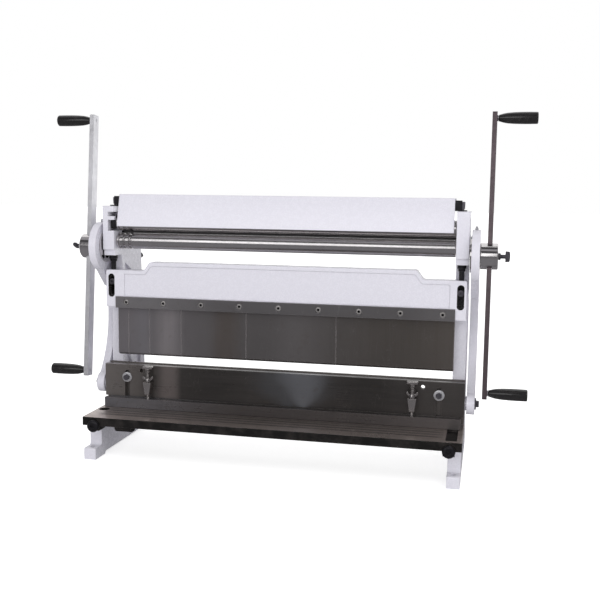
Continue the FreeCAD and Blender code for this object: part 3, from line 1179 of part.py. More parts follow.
# ---------------------------------------------------------------------------------------------
# Build everything
# ---------------------------------------------------------------------------------------------
right_side_frame()
left_side_frame()
tie_rods()
tie_rod_screws()
lower_roll_bushes()
table()
table_screws()
lower_shear_blade()
upper_beam()
clamp_bar()
clamp_screws()
finger_dies()
beam_bolts()
jack_screws()
moving_beam()
front_plate()
plate_bolts()
upper_shear_blade()
hold_down()
hold_down_springs()
lower_roll()
upper_roll()
upper_roll_blocks()
upper_roll_screws()
rear_roll()
rear_roll_blocks()
rear_roll_screws()
gear("lower_roll_gear", "Places.lower_z", "Dims.journal_size / 2", 0.25)
gear("upper_roll_gear", "Places.upper_z", "8", 0.25)
link_arms()
oil_nipples()
eccentric_sheaves()
pivot_bolts()
crank_hubs()
crank_bars()
grip_parts()
lock_screws()
roll_cover()
cover_brackets()
doc.recompute()

# ---------------------------------------------------------------------------------------------
# Check and write
# ---------------------------------------------------------------------------------------------
faults = [item.Label for item in doc.Objects if "Invalid" in item.State or "Error" in item.State]
for name, item in NODES.items():
    if item.Shape.isNull() or not item.Shape.isValid() or not item.Shape.Solids:
        faults.append(name)
if faults:
    raise RuntimeError("these objects failed: %s" % ", ".join(faults))

os.makedirs("parts", exist_ok=True)
for name, item in NODES.items():
    item.Shape.exportStep("parts/%s.step" % name)
print("%d nodes written" % len(NODES))
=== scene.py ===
"""Looks of a bench machine with forming rolls, a finger brake and a shear.

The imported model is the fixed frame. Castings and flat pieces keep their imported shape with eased
edges, and turned pieces, screws, grips, springs and the folded cover are worked out as surfaces
with numpy. Shapes are written in millimetres with Y = 0 in the plane of the roll axes, as the
part's own drawing has them, and placed() moves them into the frame's metres.
"""
import json
import math
from contextlib import contextmanager

import bmesh
import bpy
import numpy as np
from bpy.props import FloatProperty, FloatVectorProperty, IntProperty, PointerProperty
from mathutils import Matrix, Vector

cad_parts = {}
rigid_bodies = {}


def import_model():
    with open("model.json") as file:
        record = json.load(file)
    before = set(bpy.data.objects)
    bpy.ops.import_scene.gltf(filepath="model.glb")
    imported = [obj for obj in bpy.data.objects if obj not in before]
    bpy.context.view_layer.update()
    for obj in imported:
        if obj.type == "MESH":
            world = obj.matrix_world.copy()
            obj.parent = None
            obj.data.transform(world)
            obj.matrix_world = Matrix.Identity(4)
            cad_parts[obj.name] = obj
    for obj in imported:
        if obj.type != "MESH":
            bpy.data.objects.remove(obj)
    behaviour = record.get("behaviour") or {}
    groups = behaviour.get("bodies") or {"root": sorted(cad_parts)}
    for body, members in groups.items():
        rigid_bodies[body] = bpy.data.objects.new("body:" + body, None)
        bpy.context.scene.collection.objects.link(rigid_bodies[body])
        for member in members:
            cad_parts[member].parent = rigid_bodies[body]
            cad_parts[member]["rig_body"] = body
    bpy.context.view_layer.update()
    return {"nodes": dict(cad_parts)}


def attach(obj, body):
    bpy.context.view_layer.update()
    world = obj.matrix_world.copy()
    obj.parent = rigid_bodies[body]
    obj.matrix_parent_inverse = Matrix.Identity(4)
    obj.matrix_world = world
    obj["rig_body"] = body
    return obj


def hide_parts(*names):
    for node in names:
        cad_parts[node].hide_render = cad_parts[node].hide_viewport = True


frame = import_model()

bl_info = {
    "name": "Bench roll, brake and shear machine",
    "version": (1, 0, 0),
    "blender": (4, 5, 0),
    "location": "View3D > Sidebar > Roll machine",
    "description": "Makes the finished pieces, materials and stage of a three-in-one bench machine",
    "category": "Object",
}

MM = 0.001
# Drawn sizes in millimetres, and angles in radians.
ROLL_PLANE = 29.0       # from the plane of the roll axes back to the frame's origin
INNER = 379.0           # inner faces of the side frames
LOWER_Z, UPPER_Z, REAR_Y, REAR_Z = 474.0, 515.0, 42.0, 490.0    # roll axes
ROLL_RADIUS, ROLL_END = 18.0, 377.5
WIRE_GROOVES = ((6, 2), (18, 3), (32, 4))       # distance from the roll's end, and radius
REAR_SLOPE = math.radians(30)                   # fall of the rear roll's screws
HUB_Z, PIVOT_Z = 460.0, 145.0                   # crank hubs, and the arms' lower pivots
LUG_X, SCREW_X = 391.5, 388.0                   # beam bolts and jacks, upper roll screws
HOLD_X, HOLD_Y = 298.0, -33.6                   # hold-down studs
BOLT_X, BOLT_Z = 353.5, 163.0                   # plate bolts
TIE_Y, TIE_Z = 106, (488.0, 114.0)              # tie rods
CLAMP_PITCH = 88.9                              # clamp screws
BAR_OUT, BAR_TILT, GRIP_REACH = 452.5, math.radians(5.3), 286.0     # crank bars and their grips
AXES = {"X": ((1, 0, 0), (0, 1, 0)), "Y": ((0, 1, 0), (0, 0, 1)), "Z": ((0, 0, 1), (1, 0, 0))}

# Points this near in metres are merged, faces this flat in degrees are joined, edges sharper than
# this in degrees are eased, and those sharper than this are left crisp in smooth shading.
MERGED, FLAT, SHARP, CRISP = 2e-6, 0.4, 30.0, 28.0


# ---------------------------------------------------------------------------------------------
# Sizes and colours that a user may change
# ---------------------------------------------------------------------------------------------
def colour(name, description, value):
    """A colour property with its name, description and default."""
    return FloatVectorProperty(name=name, description=description, subtype="COLOR", size=3,
                               min=0.0, max=1.0, default=value)


def length(name, description, value):
    """A length property in metres."""
    return FloatProperty(name=name, description=description, default=value, min=0.0, unit="LENGTH",
                         precision=4)


class RollMachineColours(bpy.types.PropertyGroup):
    """Base colours of the finishes."""
    paint: colour("Paint", "Machine paint on castings and cover", (0.725, 0.712, 0.785))
    iron: colour("Ground iron", "Table, front plate and moving beam", (0.073, 0.066, 0.063))
    die: colour("Die steel", "Finger dies", (0.085, 0.079, 0.080))
    clamp: colour("Clamp steel", "Clamp bar", (0.100, 0.095, 0.098))
    tool: colour("Blade steel", "Blades and hold-down bar", (0.082, 0.074, 0.073))
    roll: colour("Roll steel", "Rolls and hubs", (0.66, 0.64, 0.645))
    zinc: colour("Plated steel", "Crank bars, washers, studs and nuts", (0.64, 0.635, 0.66))
    gear: colour("Gear steel", "Gears and bearing blocks", (0.36, 0.35, 0.35))
    black: colour("Blackened steel", "Screws and brackets", (0.022, 0.021, 0.024))
    brass: colour("Brass", "Oil cups and bushes", (0.62, 0.46, 0.22))
    grip: colour("Grip plastic", "Turning grips", (0.010, 0.0095, 0.0098))
    floor: colour("Floor", "Floor under the machine", (0.86, 0.86, 0.86))


class RollMachineSizes(bpy.types.PropertyGroup):
    """Sizes of the fine detail."""
    casting_edge: length("Casting edge", "Rounding of the castings' edges", 0.0018)
    plate_edge: length("Plate edge", "Rounding of ground plates' edges", 0.0007)
    stud_pitch: length("Stud pitch", "Pitch of the hold-down studs' thread", 0.0015)
    knurls: IntProperty(name="Knurls", description="Knurls round an adjusting screw's head",
                        default=26, min=8, max=60)
    turned_sides: IntProperty(name="Turned sides", description="Facets round a large turned piece",
                              default=128, min=24, max=256)
    lamp: FloatProperty(name="Lamp power", description="Power of the large soft lamp in watts",
                        default=26.0, min=0.0)


# ---------------------------------------------------------------------------------------------
# Surfaces worked out as whole arrays. A shape is a pair: points in millimetres, and quads.
# ---------------------------------------------------------------------------------------------
def lattice(rows, columns, closed_rows=False):
    """Quads of a grid that wraps round its columns, and round its rows too if closed_rows."""
    last = rows if closed_rows else rows - 1
    i, j = (k.ravel() for k in np.meshgrid(np.arange(last), np.arange(columns), indexing="ij"))
    here, below, across = i * columns, (i + 1) % rows * columns, (j + 1) % columns
    return np.stack([here + j, below + j, below + across, here + across], 1)


def full(profile):
    """Profile rows as an array, with zeros for the weights a row leaves out."""
    if isinstance(profile, np.ndarray):
        return profile.astype(float)
    width = max(map(len, profile))
    return np.array([(*row, *(0.0,) * (width - len(row))) for row in profile], float)


def softened(profile, radius, steps=5, closed=False):
    """A polyline with rounded corners.

    Each corner becomes the quadratic curve (1-s)^2 A + 2 s (1-s) B + s^2 C, with B the corner and A
    and C the points one radius before and after it, or half a leg where that is shorter.
    """
    p = full(profile)
    before, after = np.roll(p, 1, 0), np.roll(p, -1, 0)

    def towards(q):
        """The points one radius from each corner on the way to its neighbour q."""
        leg = np.linalg.norm((q - p)[:, :2], axis=1, keepdims=True)
        return p + (q - p) * np.minimum(radius, leg / 2) / np.maximum(leg, 1e-9)

    s = np.linspace(0, 1, steps)[None, :, None]
    curve = (towards(before)[:, None] * (1 - s) ** 2 + p[:, None] * 2 * s * (1 - s)
             + towards(after)[:, None] * s ** 2)
    if closed:
        return curve.reshape(-1, p.shape[1])
    return np.vstack([p[:1], curve[1:-1].reshape(-1, p.shape[1]), p[-1:]])


def divided(profile, step):
    """The same polyline with extra points no more than one step apart along it."""
    p = full(profile)
    legs = np.linalg.norm(np.diff(p[:, :2], axis=0), axis=1)
    run = np.concatenate([[0], np.cumsum(legs + 1e-9)])
    place = np.unique(np.concatenate([run, np.arange(0, run[-1], step)]))
    return np.column_stack([np.interp(place, run, column) for column in p.T])


def turned(profile, axis, centre, around, sides=6, knurl=(0, 0, 0), pitch=0, ring=False):
    """A turned shape.

    Each row of the profile is (along, radius, p, k, t). At angle a the radius is
    radius * (1 - p + p * cos(pi/n) / cos((a mod 2pi/n) - pi/n)), a blend from a circle to a regular
    polygon of n sides, less k * depth * (1 - |sin u| |sin v|) with u, v = (count * a)/2 +- slope *
    along for a knurl, less t * |2 frac(along/pitch - a/2pi) - 1| for a thread. The first and last
    rows have radius 0 and close the ends, or ring joins the last row to the first.
    """
    rows = full(profile)
    rows = np.hstack([rows, np.zeros((len(rows), 5 - rows.shape[1]))])
    along, radius, flat, rough, thread = rows.T[:, :, None]
    a = np.linspace(0, 2 * np.pi, around, endpoint=False)[None, :]
    wedge = 2 * np.pi / sides
    polygon = np.cos(wedge / 2) / np.cos(np.mod(a, wedge) - wedge / 2)
    reach = radius * (1 - flat + flat * polygon)
    count, slope, depth = knurl
    u, v = count * a / 2 + slope * along, count * a / 2 - slope * along
    reach = reach - rough * depth * (1 - np.abs(np.sin(u)) * np.abs(np.sin(v)))
    if pitch:
        reach = reach - thread * np.abs(2 * np.mod(along / pitch - a / (2 * np.pi), 1) - 1)
    spine, side = np.array(AXES[axis] if axis in AXES else (axis, (1, 0, 0)), float)
    across = np.cross(spine, side)
    points = (np.asarray(centre, float) + along[..., None] * spine
              + (reach * np.cos(a))[..., None] * side + (reach * np.sin(a))[..., None] * across)
    return points.reshape(-1, 3), lattice(len(rows), around, ring)


def slab(outline, low, high, normal, edge, steps=4):
    """A plate with rounded rims.

    The outline lies across the normal. Ring k is the outline drawn in by edge * (1 - sin b) and
    stands edge * (1 - cos b) inside the face, b from 0 to a quarter turn, the same in reverse at
    the far face, and each face closes on the outline's centre.
    """
    p = np.asarray(outline, float)
    tangent = np.roll(p, -1, 0) - np.roll(p, 1, 0)
    size = np.maximum(np.linalg.norm(tangent, axis=1, keepdims=True), 1e-9)
    inward = np.stack([-tangent[:, 1], tangent[:, 0]], 1) / size
    area = np.sum(p[:, 0] * np.roll(p[:, 1], -1) - np.roll(p[:, 0], -1) * p[:, 1])
    inward = inward * np.sign(area)
    b = np.linspace(0, np.pi / 2, steps)
    drawn, depth = edge * (1 - np.sin(b)), edge * (1 - np.cos(b))
    rings = p[None] + inward[None] * drawn[:, None, None]
    centre = np.broadcast_to(p.mean(0), p.shape)[None]
    flat = np.concatenate([centre, rings, rings[::-1], centre])
    level = np.concatenate([[low], low + depth, (high - depth)[::-1], [high]])
    stack = np.broadcast_to(level[:, None, None], flat.shape[:2] + (1,))
    order = {"X": (2, 0, 1), "Y": (0, 2, 1), "Z": (0, 1, 2)}[normal]
    points = np.concatenate([flat, stack], 2)[..., list(order)]
    return points.reshape(-1, 3), lattice(len(level), len(p))


def coil(centre, radius, wire, low, high, turns, around=14, steps=26):
    """A helical spring with flattened end turns.

    The centre line is (radius cos t, radius sin t, z(t)), where z eases in and out over the first
    and last turn, and the wire is a circle in the plane of the radial and binormal directions.
    """
    t = np.linspace(0, 2 * np.pi * turns, int(turns * steps) + 1)
    share = t / t[-1]
    speed = np.clip(np.minimum(share, 1 - share) * turns, 0.25, 1)
    z = np.concatenate([[0], np.cumsum((speed[1:] + speed[:-1]) / 2)])
    z = low + (high - low) * z / z[-1]
    out = np.stack([np.cos(t), np.sin(t), 0 * t], 1)
    line = np.stack([radius * np.cos(t), radius * np.sin(t), z], 1)
    ahead = np.gradient(line, axis=0)
    ahead /= np.linalg.norm(ahead, axis=1)[:, None]
    side = np.cross(ahead, out)
    s = np.linspace(0, 2 * np.pi, around, endpoint=False)
    line = np.concatenate([line[:1], line, line[-1:]])
    out, side = (np.concatenate([d[:1], d, d[-1:]]) for d in (out, side))
    size = np.concatenate([[0], np.full(len(t), wire), [0]])
    round_it = np.cos(s)[None, :, None] * out[:, None] + np.sin(s)[None, :, None] * side[:, None]
    tube = line[:, None] + size[:, None, None] * round_it
    return tube.reshape(-1, 3) + np.asarray(centre, float), lattice(len(line), around)


def folded(line, thick, start, end, bend):
    """A folded sheet carried along X.

    The outer line has its corners rounded, the inner line stands one thickness inside it along the
    line's normal, and the strip between them is carried from start to end and closed at both.
    """
    outer = softened(line, bend, steps=7)
    keep = np.concatenate([[True], np.linalg.norm(np.diff(outer, axis=0), axis=1) > 1e-6])
    outer = outer[keep]
    tangent = np.gradient(outer, axis=0)
    normal = np.stack([tangent[:, 1], -tangent[:, 0]], 1) / np.linalg.norm(tangent, axis=1)[:, None]
    loop = np.concatenate([outer, (outer + normal * thick)[::-1]])
    n, m = len(outer), len(loop)
    x = np.array([start, end])[:, None, None]
    points = np.concatenate([np.broadcast_to(x, (2, m, 1)), np.broadcast_to(loop, (2, m, 2))], 2)
    i = np.arange(n - 1)
    cap = np.stack([i, i + 1, m - 2 - i, m - 1 - i], 1)
    return points.reshape(-1, 3), np.concatenate([lattice(2, m), cap, cap + m])


def moved(shape, offset):
    """A shape shifted by an offset."""
    return shape[0] + np.asarray(offset, float), shape[1]


def mirrored(shapes):
    """Shapes on the other side of the machine's middle plane: each x becomes -x."""
    return [(points * (-1, 1, 1), quads) for points, quads in shapes]


def pair(*shapes):
    """Shapes and their mirror images."""
    return list(shapes) + mirrored(shapes)


# Shapes are drawn for the right side: as they are there, and mirrored for the left.
SIDES = (("right", list), ("left", mirrored))


def placed(points):
    """Drawn millimetres to the frame's metres."""
    return (points - (0, ROLL_PLANE, 0)) * MM


# ---------------------------------------------------------------------------------------------
# Pieces in the frame
# ---------------------------------------------------------------------------------------------
def shaded(mesh, angle):
    """Smooth shading with edges sharper than an angle in degrees left crisp."""
    mesh.polygons.foreach_set("use_smooth", np.ones(len(mesh.polygons), bool))
    mesh.set_sharp_from_angle(angle=math.radians(angle))


def linked(name, data):
    """A new object in the scene."""
    item = bpy.data.objects.new(name, data)
    bpy.context.scene.collection.objects.link(item)
    return item


@contextmanager
def merged(mesh):
    """A mesh for editing, its coinciding points made one, and written back afterwards."""
    work = bmesh.new()
    work.from_mesh(mesh)
    bmesh.ops.remove_doubles(work, verts=work.verts, dist=MERGED)
    yield work
    work.to_mesh(mesh)
    work.free()


def finish(piece, look):
    """Gives a piece the finish of a name."""
    piece.data.materials.clear()
    piece.data.materials.append(bpy.data.materials[look])


def stand_for(piece, node, look):
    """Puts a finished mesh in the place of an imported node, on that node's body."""
    if not len(piece.data.polygons):
        raise RuntimeError("piece %s came out with no faces" % piece.name)
    finish(piece, look)
    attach(piece, frame["nodes"][node]["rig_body"])
    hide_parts(node)


def make(name, node, shapes, look, crisp=32):
    """One piece out of closed shapes: seams and poles merged, faces turned outwards."""
    offsets = np.cumsum([0] + [len(points) for points, _ in shapes[:-1]])
    points = placed(np.concatenate([points for points, _ in shapes]))
    quads = np.concatenate([quads + start for (_, quads), start in zip(shapes, offsets)])
    mesh = bpy.data.meshes.new(name)
    mesh.from_pydata(points, [], quads)
    with merged(mesh) as work:
        bmesh.ops.dissolve_degenerate(work, edges=work.edges, dist=MERGED / 20)
        bmesh.ops.recalc_face_normals(work, faces=work.faces)
    shaded(mesh, crisp)
    stand_for(linked(name, mesh), node, look)


def eased(name, node, look, width, segments=3, convex=False):
    """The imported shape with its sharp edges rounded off.

    A copy of the node's triangles is merged, faces in one plane become one, and a Bevel modifier
    rounds each sharp edge. With convex, faces that bend round openings are cut into convex ones, so
    that no triangle of theirs closes an opening.
    """
    mesh = frame["nodes"][node].data.copy()
    mesh.name = name
    with merged(mesh) as work:
        bmesh.ops.dissolve_limit(work, angle_limit=math.radians(FLAT), verts=work.verts,
                                 edges=work.edges)
        if convex:
            bmesh.ops.connect_verts_concave(work, faces=work.faces)
    for layer in list(mesh.attributes):
        if layer.name in ("custom_normal", "sharp_edge"):
            mesh.attributes.remove(layer)
    shaded(mesh, CRISP)
    piece = linked(name, mesh)
    bevel = piece.modifiers.new("eased edges", "BEVEL")
    bevel.width = width
    bevel.segments = segments
    bevel.limit_method = "ANGLE"
    bevel.angle_limit = math.radians(SHARP)
    bevel.harden_normals = True
    bevel.miter_outer = "MITER_ARC"
    stand_for(piece, node, look)


# ---------------------------------------------------------------------------------------------
# Shader building blocks
# ---------------------------------------------------------------------------------------------
def is_socket(value):
    """Whether a value comes out of a node."""
    return isinstance(value, bpy.types.NodeSocket)


def join(value, socket):
    """Links a socket to an input, or sets the input to a plain value."""
    if is_socket(value):
        socket.id_data.links.new(value, socket)
    else:
        socket.default_value = value


def add(kind, *values, tree=None, **settings):
    """A shader node. Values fill its inputs in order, settings are attributes or named inputs.

    It goes into the tree of the first socket among them, unless a tree is given.
    """
    tree = tree or next(v.id_data for v in (*values, *settings.values()) if is_socket(v))
    item = tree.nodes.new("ShaderNode" + kind)
    named = {}
    for name, value in settings.items():
        if hasattr(item, name):
            setattr(item, name, value)
        else:
            named[name.replace("_", " ")] = value
    for key, value in [*enumerate(values), *named.items()]:
        if value is not None:
            join(value, item.inputs[key])
    return item


def sums(operation, *values):
    """The result of a Math node."""
    return add("Math", *values, operation=operation).outputs[0]


def times(first, second):
    """Two values multiplied."""
    return sums("MULTIPLY", first, second)


def plus(first, second):
    """Two values added."""
    return sums("ADD", first, second)


def away_from(value, middle):
    """How far a value lies from a middle, on either side."""
    return sums("ABSOLUTE", sums("SUBTRACT", value, middle))


def vectors(operation, *values):
    """The vector that a Vector Math node gives."""
    return add("VectorMath", *values, operation=operation).outputs[0]


def split(vector):
    """A vector's three parts."""
    return add("SeparateXYZ", vector).outputs


def ramp(value, low, high, to_low=0.0, to_high=1.0):
    """A value carried from one range to another and kept inside it."""
    return add("MapRange", value, low, high, to_low, to_high).outputs[0]


def mixed(factor, first, second):
    """Two colours mixed by a factor."""
    item = add("Mix", factor, data_type="RGBA")
    for socket, value in ((item.inputs[6], first), (item.inputs[7], second)):
        join(value if is_socket(value) else (*value, 1.0), socket)
    return item.outputs[2]


def over(base, mask, share, coat):
    """A base with another colour laid over it where a mask shows, by no more than a share."""
    return mixed(times(mask, share), base, coat)


def noise(vector, scale, detail=3.0, roughness=0.55):
    """A noise texture's value."""
    return add("TexNoise", Vector=vector, Scale=scale, Detail=detail,
               Roughness=roughness).outputs[0]


def stretched(vector, scale):
    """Coordinates scaled differently along each axis."""
    return vectors("MULTIPLY", vector, scale)


def upright(where):
    """How far a surface faces up, from -1 to 1."""
    return split(add("TexCoord", tree=where.id_data).outputs["Normal"])[2]


def group(name, inputs, outputs, build):
    """A shader node group made once, with its named inputs and outputs."""
    if name in bpy.data.node_groups:
        return bpy.data.node_groups[name]
    tree = bpy.data.node_groups.new(name, "ShaderNodeTree")
    for label, kind, value in [("Vector", "Vector", None)] + inputs:
        socket = tree.interface.new_socket(label, in_out="INPUT", socket_type="NodeSocket" + kind)
        if value is not None:
            socket.default_value = value
    for label, kind in outputs:
        tree.interface.new_socket(label, in_out="OUTPUT", socket_type="NodeSocket" + kind)
    source, sink = tree.nodes.new("NodeGroupInput"), tree.nodes.new("NodeGroupOutput")
    for label, socket in build(source.outputs).items():
        tree.links.new(socket, sink.inputs[label])
    return tree


def use(which, where, **values):
    """A group placed in a material at its coordinates and with its own values."""
    item = where.id_data.nodes.new("ShaderNodeGroup")
    item.node_tree = which()
    for name, value in {"Vector": where, **values}.items():
        join(value, item.inputs[name])
    return item.outputs


def worn_and_lit_edges():
    """Edges where a rounded normal leaves the true one: Mask is rubbed wear, broken up by noise,
    and Edge, unbroken, is a painted highlight where a finish lightens along it.
    """
    def build(i):
        soft = add("Bevel", i["Radius"], samples=6).outputs[0]
        true = add("NewGeometry", tree=soft.id_data).outputs["True Normal"]
        turn = add("VectorMath", soft, true, operation="DOT_PRODUCT").outputs["Value"]
        edge = ramp(turn, 0.995, 0.86)
        broken = ramp(noise(i["Vector"], i["Scale"], 4.0, 0.65), 0.38, 0.66)
        return {"Mask": times(edge, broken), "Edge": edge, "Normal": soft}
    return group("worn and lit edges", [("Radius", "Float", 0.0015), ("Scale", "Float", 90.0)],
                 [("Mask", "Float"), ("Edge", "Float"), ("Normal", "Vector")], build)


def grain():
    """Fine lines left by grinding or drawing: noise stretched along the work, in two scales."""
    def build(i):
        along = stretched(i["Vector"], i["Stretch"])
        fine, wide = noise(along, 1.0, 3.0, 0.7), noise(along, 0.22, 4.0, 0.6)
        both = plus(times(fine, 0.6), times(wide, 0.4))
        return {"Lines": both, "Dark": ramp(both, 0.35, 0.62)}
    return group("grain", [("Stretch", "Vector", (20.0, 900.0, 900.0))],
                 [("Lines", "Float"), ("Dark", "Float")], build)


def mottle():
    """Uneven tone: large soft patches with smaller stains inside them."""
    def build(i):
        large = noise(i["Vector"], i["Scale"], 5.0, 0.6)
        drift = add("TexNoise", Vector=i["Vector"], Scale=9.0).outputs["Color"]
        bent = vectors("ADD", i["Vector"], stretched(drift, (0.06, 0.06, 0.06)))
        small = noise(bent, times(i["Scale"], 5.0), 4.0, 0.6)
        stains = noise(bent, times(i["Scale"], 16.0), 2.0, 0.5)
        tone = plus(times(ramp(large, 0.3, 0.7), 0.6), times(ramp(small, 0.3, 0.7), 0.4))
        return {"Tone": tone, "Spots": ramp(stains, 0.60, 0.74)}
    return group("mottle", [("Scale", "Float", 8.0)], [("Tone", "Float"), ("Spots", "Float")],
                 build)


def bands():
    """Broad soft bands that stand upright on a ground face: noise of x, bent a little by z."""
    def build(i):
        wide = noise(stretched(i["Vector"], (1.0, 0.0, 0.12)), i["Scale"], 1.0, 0.4)
        thin = noise(stretched(i["Vector"], (1.0, 0.0, 0.05)), times(i["Scale"], 4.3), 2.0, 0.5)
        return {"Band": plus(times(ramp(wide, 0.33, 0.67), 0.7),
                             times(ramp(thin, 0.35, 0.65), 0.3))}
    return group("bands", [("Scale", "Float", 7.0)], [("Band", "Float")], build)


def scratches():
    """Sparse hair scratches: thin bands of a bent wave, kept only where a noise is high."""
    def build(i):
        turned_round = add("Mapping", i["Vector"], Rotation=(0.4, 0.3, 0.9)).outputs[0]
        masks = []
        for vector, scale in ((i["Vector"], (60.0, 4.0, 9.0)), (turned_round, (7.0, 90.0, 50.0))):
            fibre = noise(stretched(vector, scale), 1.0, 1.0, 0.4)
            masks.append(ramp(away_from(fibre, 0.5), 0.006, 0.0))
        where = ramp(noise(i["Vector"], 23.0, 2.0), 0.5, 0.62)
        return {"Mask": times(sums("MAXIMUM", *masks), where)}
    return group("scratches", [], [("Mask", "Float")], build)


def paint_skin():
    """Machine paint: orange peel over a sand-cast surface, with dust on faces that look up."""
    def build(i):
        peel = noise(i["Vector"], 420.0, 2.0, 0.5)
        cast = noise(i["Vector"], 95.0, 4.0, 0.6)
        settled = ramp(noise(i["Vector"], 60.0, 5.0, 0.7), 0.4, 0.75)
        shade = noise(i["Vector"], 5.0, 3.0, 0.5)
        return {"Height": plus(times(peel, 0.55), times(cast, 0.45)),
                "Dust": times(ramp(upright(i["Vector"]), 0.5, 0.95), settled),
                "Shade": ramp(shade, 0.3, 0.7)}
    return group("paint skin", [], [("Height", "Float"), ("Dust", "Float"), ("Shade", "Float")],
                 build)


def reflection_band():
    """An upright band of painted reflection, lighter or darker than the face under it.

    The mask eases from 1 at the middle x to 0 at the half width, noise bends its sides, and it
    narrows downwards between its open and its closed height.
    """
    def build(i):
        x, _, z = split(i["Vector"])
        bend = noise(stretched(i["Vector"], (14.0, 1.0, 5.0)), 1.0, 2.0)
        bend = times(sums("SUBTRACT", bend, 0.5), 0.035)
        width = ramp(z, i["Closed"], i["Open"], 0.05, 1.0)
        away = sums("DIVIDE", away_from(plus(x, bend), i["Middle"]), width)
        soft = add("MapRange", away, i["Half"], times(i["Half"], 0.12),
                   interpolation_type="SMOOTHSTEP")
        return {"Mask": soft.outputs[0]}
    return group("reflection_band", [("Middle", "Float", 0.0), ("Half", "Float", 0.1),
                          ("Closed", "Float", -2.0), ("Open", "Float", -1.0)],
                 [("Mask", "Float")], build)


def recess():
    """1 inside a box that is the same on both sides of the middle plane, and 0 outside it."""
    def build(i):
        x = split(vectors("ABSOLUTE", i["Vector"]))[0]
        y, z = split(i["Vector"])[1:]
        sides = zip((x, y, z), split(i["Middle"]), split(i["Reach"]))
        first, second, third = (sums("COMPARE", *side) for side in sides)
        return {"Mask": times(times(first, second), third)}
    return group("recess", [("Middle", "Vector", (0.0, 0.0, 0.0)),
                            ("Reach", "Vector", (0.01, 0.01, 0.01))], [("Mask", "Float")], build)


def inside(where, low, high):
    """The mask of a recess given by its low and high corner."""
    middle = tuple((a + b) / 2 for a, b in zip(low, high))
    reach = tuple((b - a) / 2 for a, b in zip(low, high))
    return use(recess, where, Middle=middle, Reach=reach)["Mask"]


def emptied(owner, kind):
    """The cleared node tree of a material or world, and where its surface goes."""
    owner.use_nodes = True
    owner.node_tree.nodes.clear()
    return owner.node_tree, owner.node_tree.nodes.new("ShaderNodeOutput" + kind).inputs[0]


def blank(name):
    """A new material's shader and its object coordinates."""
    material = bpy.data.materials.new(name)
    tree, surface = emptied(material, "Material")
    shader = add("BsdfPrincipled", tree=tree)
    join(shader.outputs[0], surface)
    return shader, add("TexCoord", tree=tree).outputs["Object"]


def dress(shader, base, roughness, height, strength, distance, normal=None, **rest):
    """Joins or sets a shader's colour, roughness, relief and any other input."""
    bump = add("Bump", Strength=strength, Distance=distance, Height=height, Normal=normal)
    relief = bump.outputs[0]
    for name, value in dict(Base_Color=base, Roughness=roughness, Normal=relief, **rest).items():
        join(value, shader.inputs[name.replace("_", " ")])


def seen_rays(tree):
    """1 for rays from the camera, and for mirrored and refracted rays."""
    path = add("LightPath", tree=tree).outputs
    mirrored_or_bent = sums("MAXIMUM", path["Is Glossy Ray"], path["Is Transmission Ray"])
    return sums("MAXIMUM", path["Is Camera Ray"], mirrored_or_bent)


def scaled(rgb, factor):
    """A colour made lighter or darker."""
    return tuple(min(1.0, c * factor) for c in rgb)


# ---------------------------------------------------------------------------------------------
# Finishes
# ---------------------------------------------------------------------------------------------
# A reflection band is (middle x, half width, colour or factor of the finish's own), in metres, and
# where it narrows downwards also its closed and its open height. A band ALL_OVER wide sets the
# finish's overall tone; the others are painted reflections and highlights, lighter or darker
# upright bands across the face, such as the lighter left ends.
ALL_OVER = 9.0
TABLE_REFLECTIONS = ((-0.46, 0.20, 6.0), (0.36, 0.17, 4.6))
PLATE_REFLECTIONS = (
    (0.0, ALL_OVER, 0.62), (-0.44, 0.22, 2.9), (-0.255, 0.036, (0.190, 0.162, 0.156)),
    (-0.15, 0.09, 0.46), (0.040, 0.130, (0.082, 0.084, 0.092), 0.100, 0.150),
    (0.058, 0.075, (0.160, 0.165, 0.182), 0.108, 0.175), (0.200, 0.120, 0.42), (0.350, 0.12, 0.95))
DIE_REFLECTIONS = (
    (0.0, ALL_OVER, 1.34), (-0.42, 0.34, (0.215, 0.200, 0.215)),
    (-0.262, 0.042, (0.290, 0.268, 0.280)), (-0.325, 0.03, (0.225, 0.214, 0.232)),
    (-0.125, 0.05, (0.108, 0.092, 0.085)), (0.050, 0.085, (0.140, 0.130, 0.132)),
    (0.27, 0.26, (0.086, 0.075, 0.067)), (0.42, 0.14, (0.112, 0.096, 0.084)))
CLAMP_REFLECTIONS = ((0.0, ALL_OVER, 1.2), (-0.42, 0.36, (0.225, 0.215, 0.225)), (0.40, 0.14, 1.6))
BLADE_REFLECTIONS = ((0.0, ALL_OVER, 0.88), (-0.41, 0.34, (0.205, 0.203, 0.222)), (0.39, 0.20, 1.9))

# Boxes of painted shade, as low and high corners in metres, x being the distance from the middle
# plane:
# the beam's end slots with the frame face behind them, and the clamp screws' sockets with all
# behind their heads.
END_SLOT_SHADE = ((0.383, -0.0435, 0.3455), (0.400, -0.0105, 0.3995))
CLAMP_SOCKET_SHADE = ((0.0, -0.0466, 0.0), (1.0, 0.05, 1.0))

# The table's machined lines, drawn darker: where the first starts, their pitch, and their field,
# given by its middle and by how far from it the lines end and how far they are whole.
LINE_START, LINE_PITCH = -0.1409, 0.018
FIELD_MIDDLE = (-0.008, -0.1095, 0.0)
FIELD_X, FIELD_Y = (0.378, 0.36), (0.0315, 0.030)


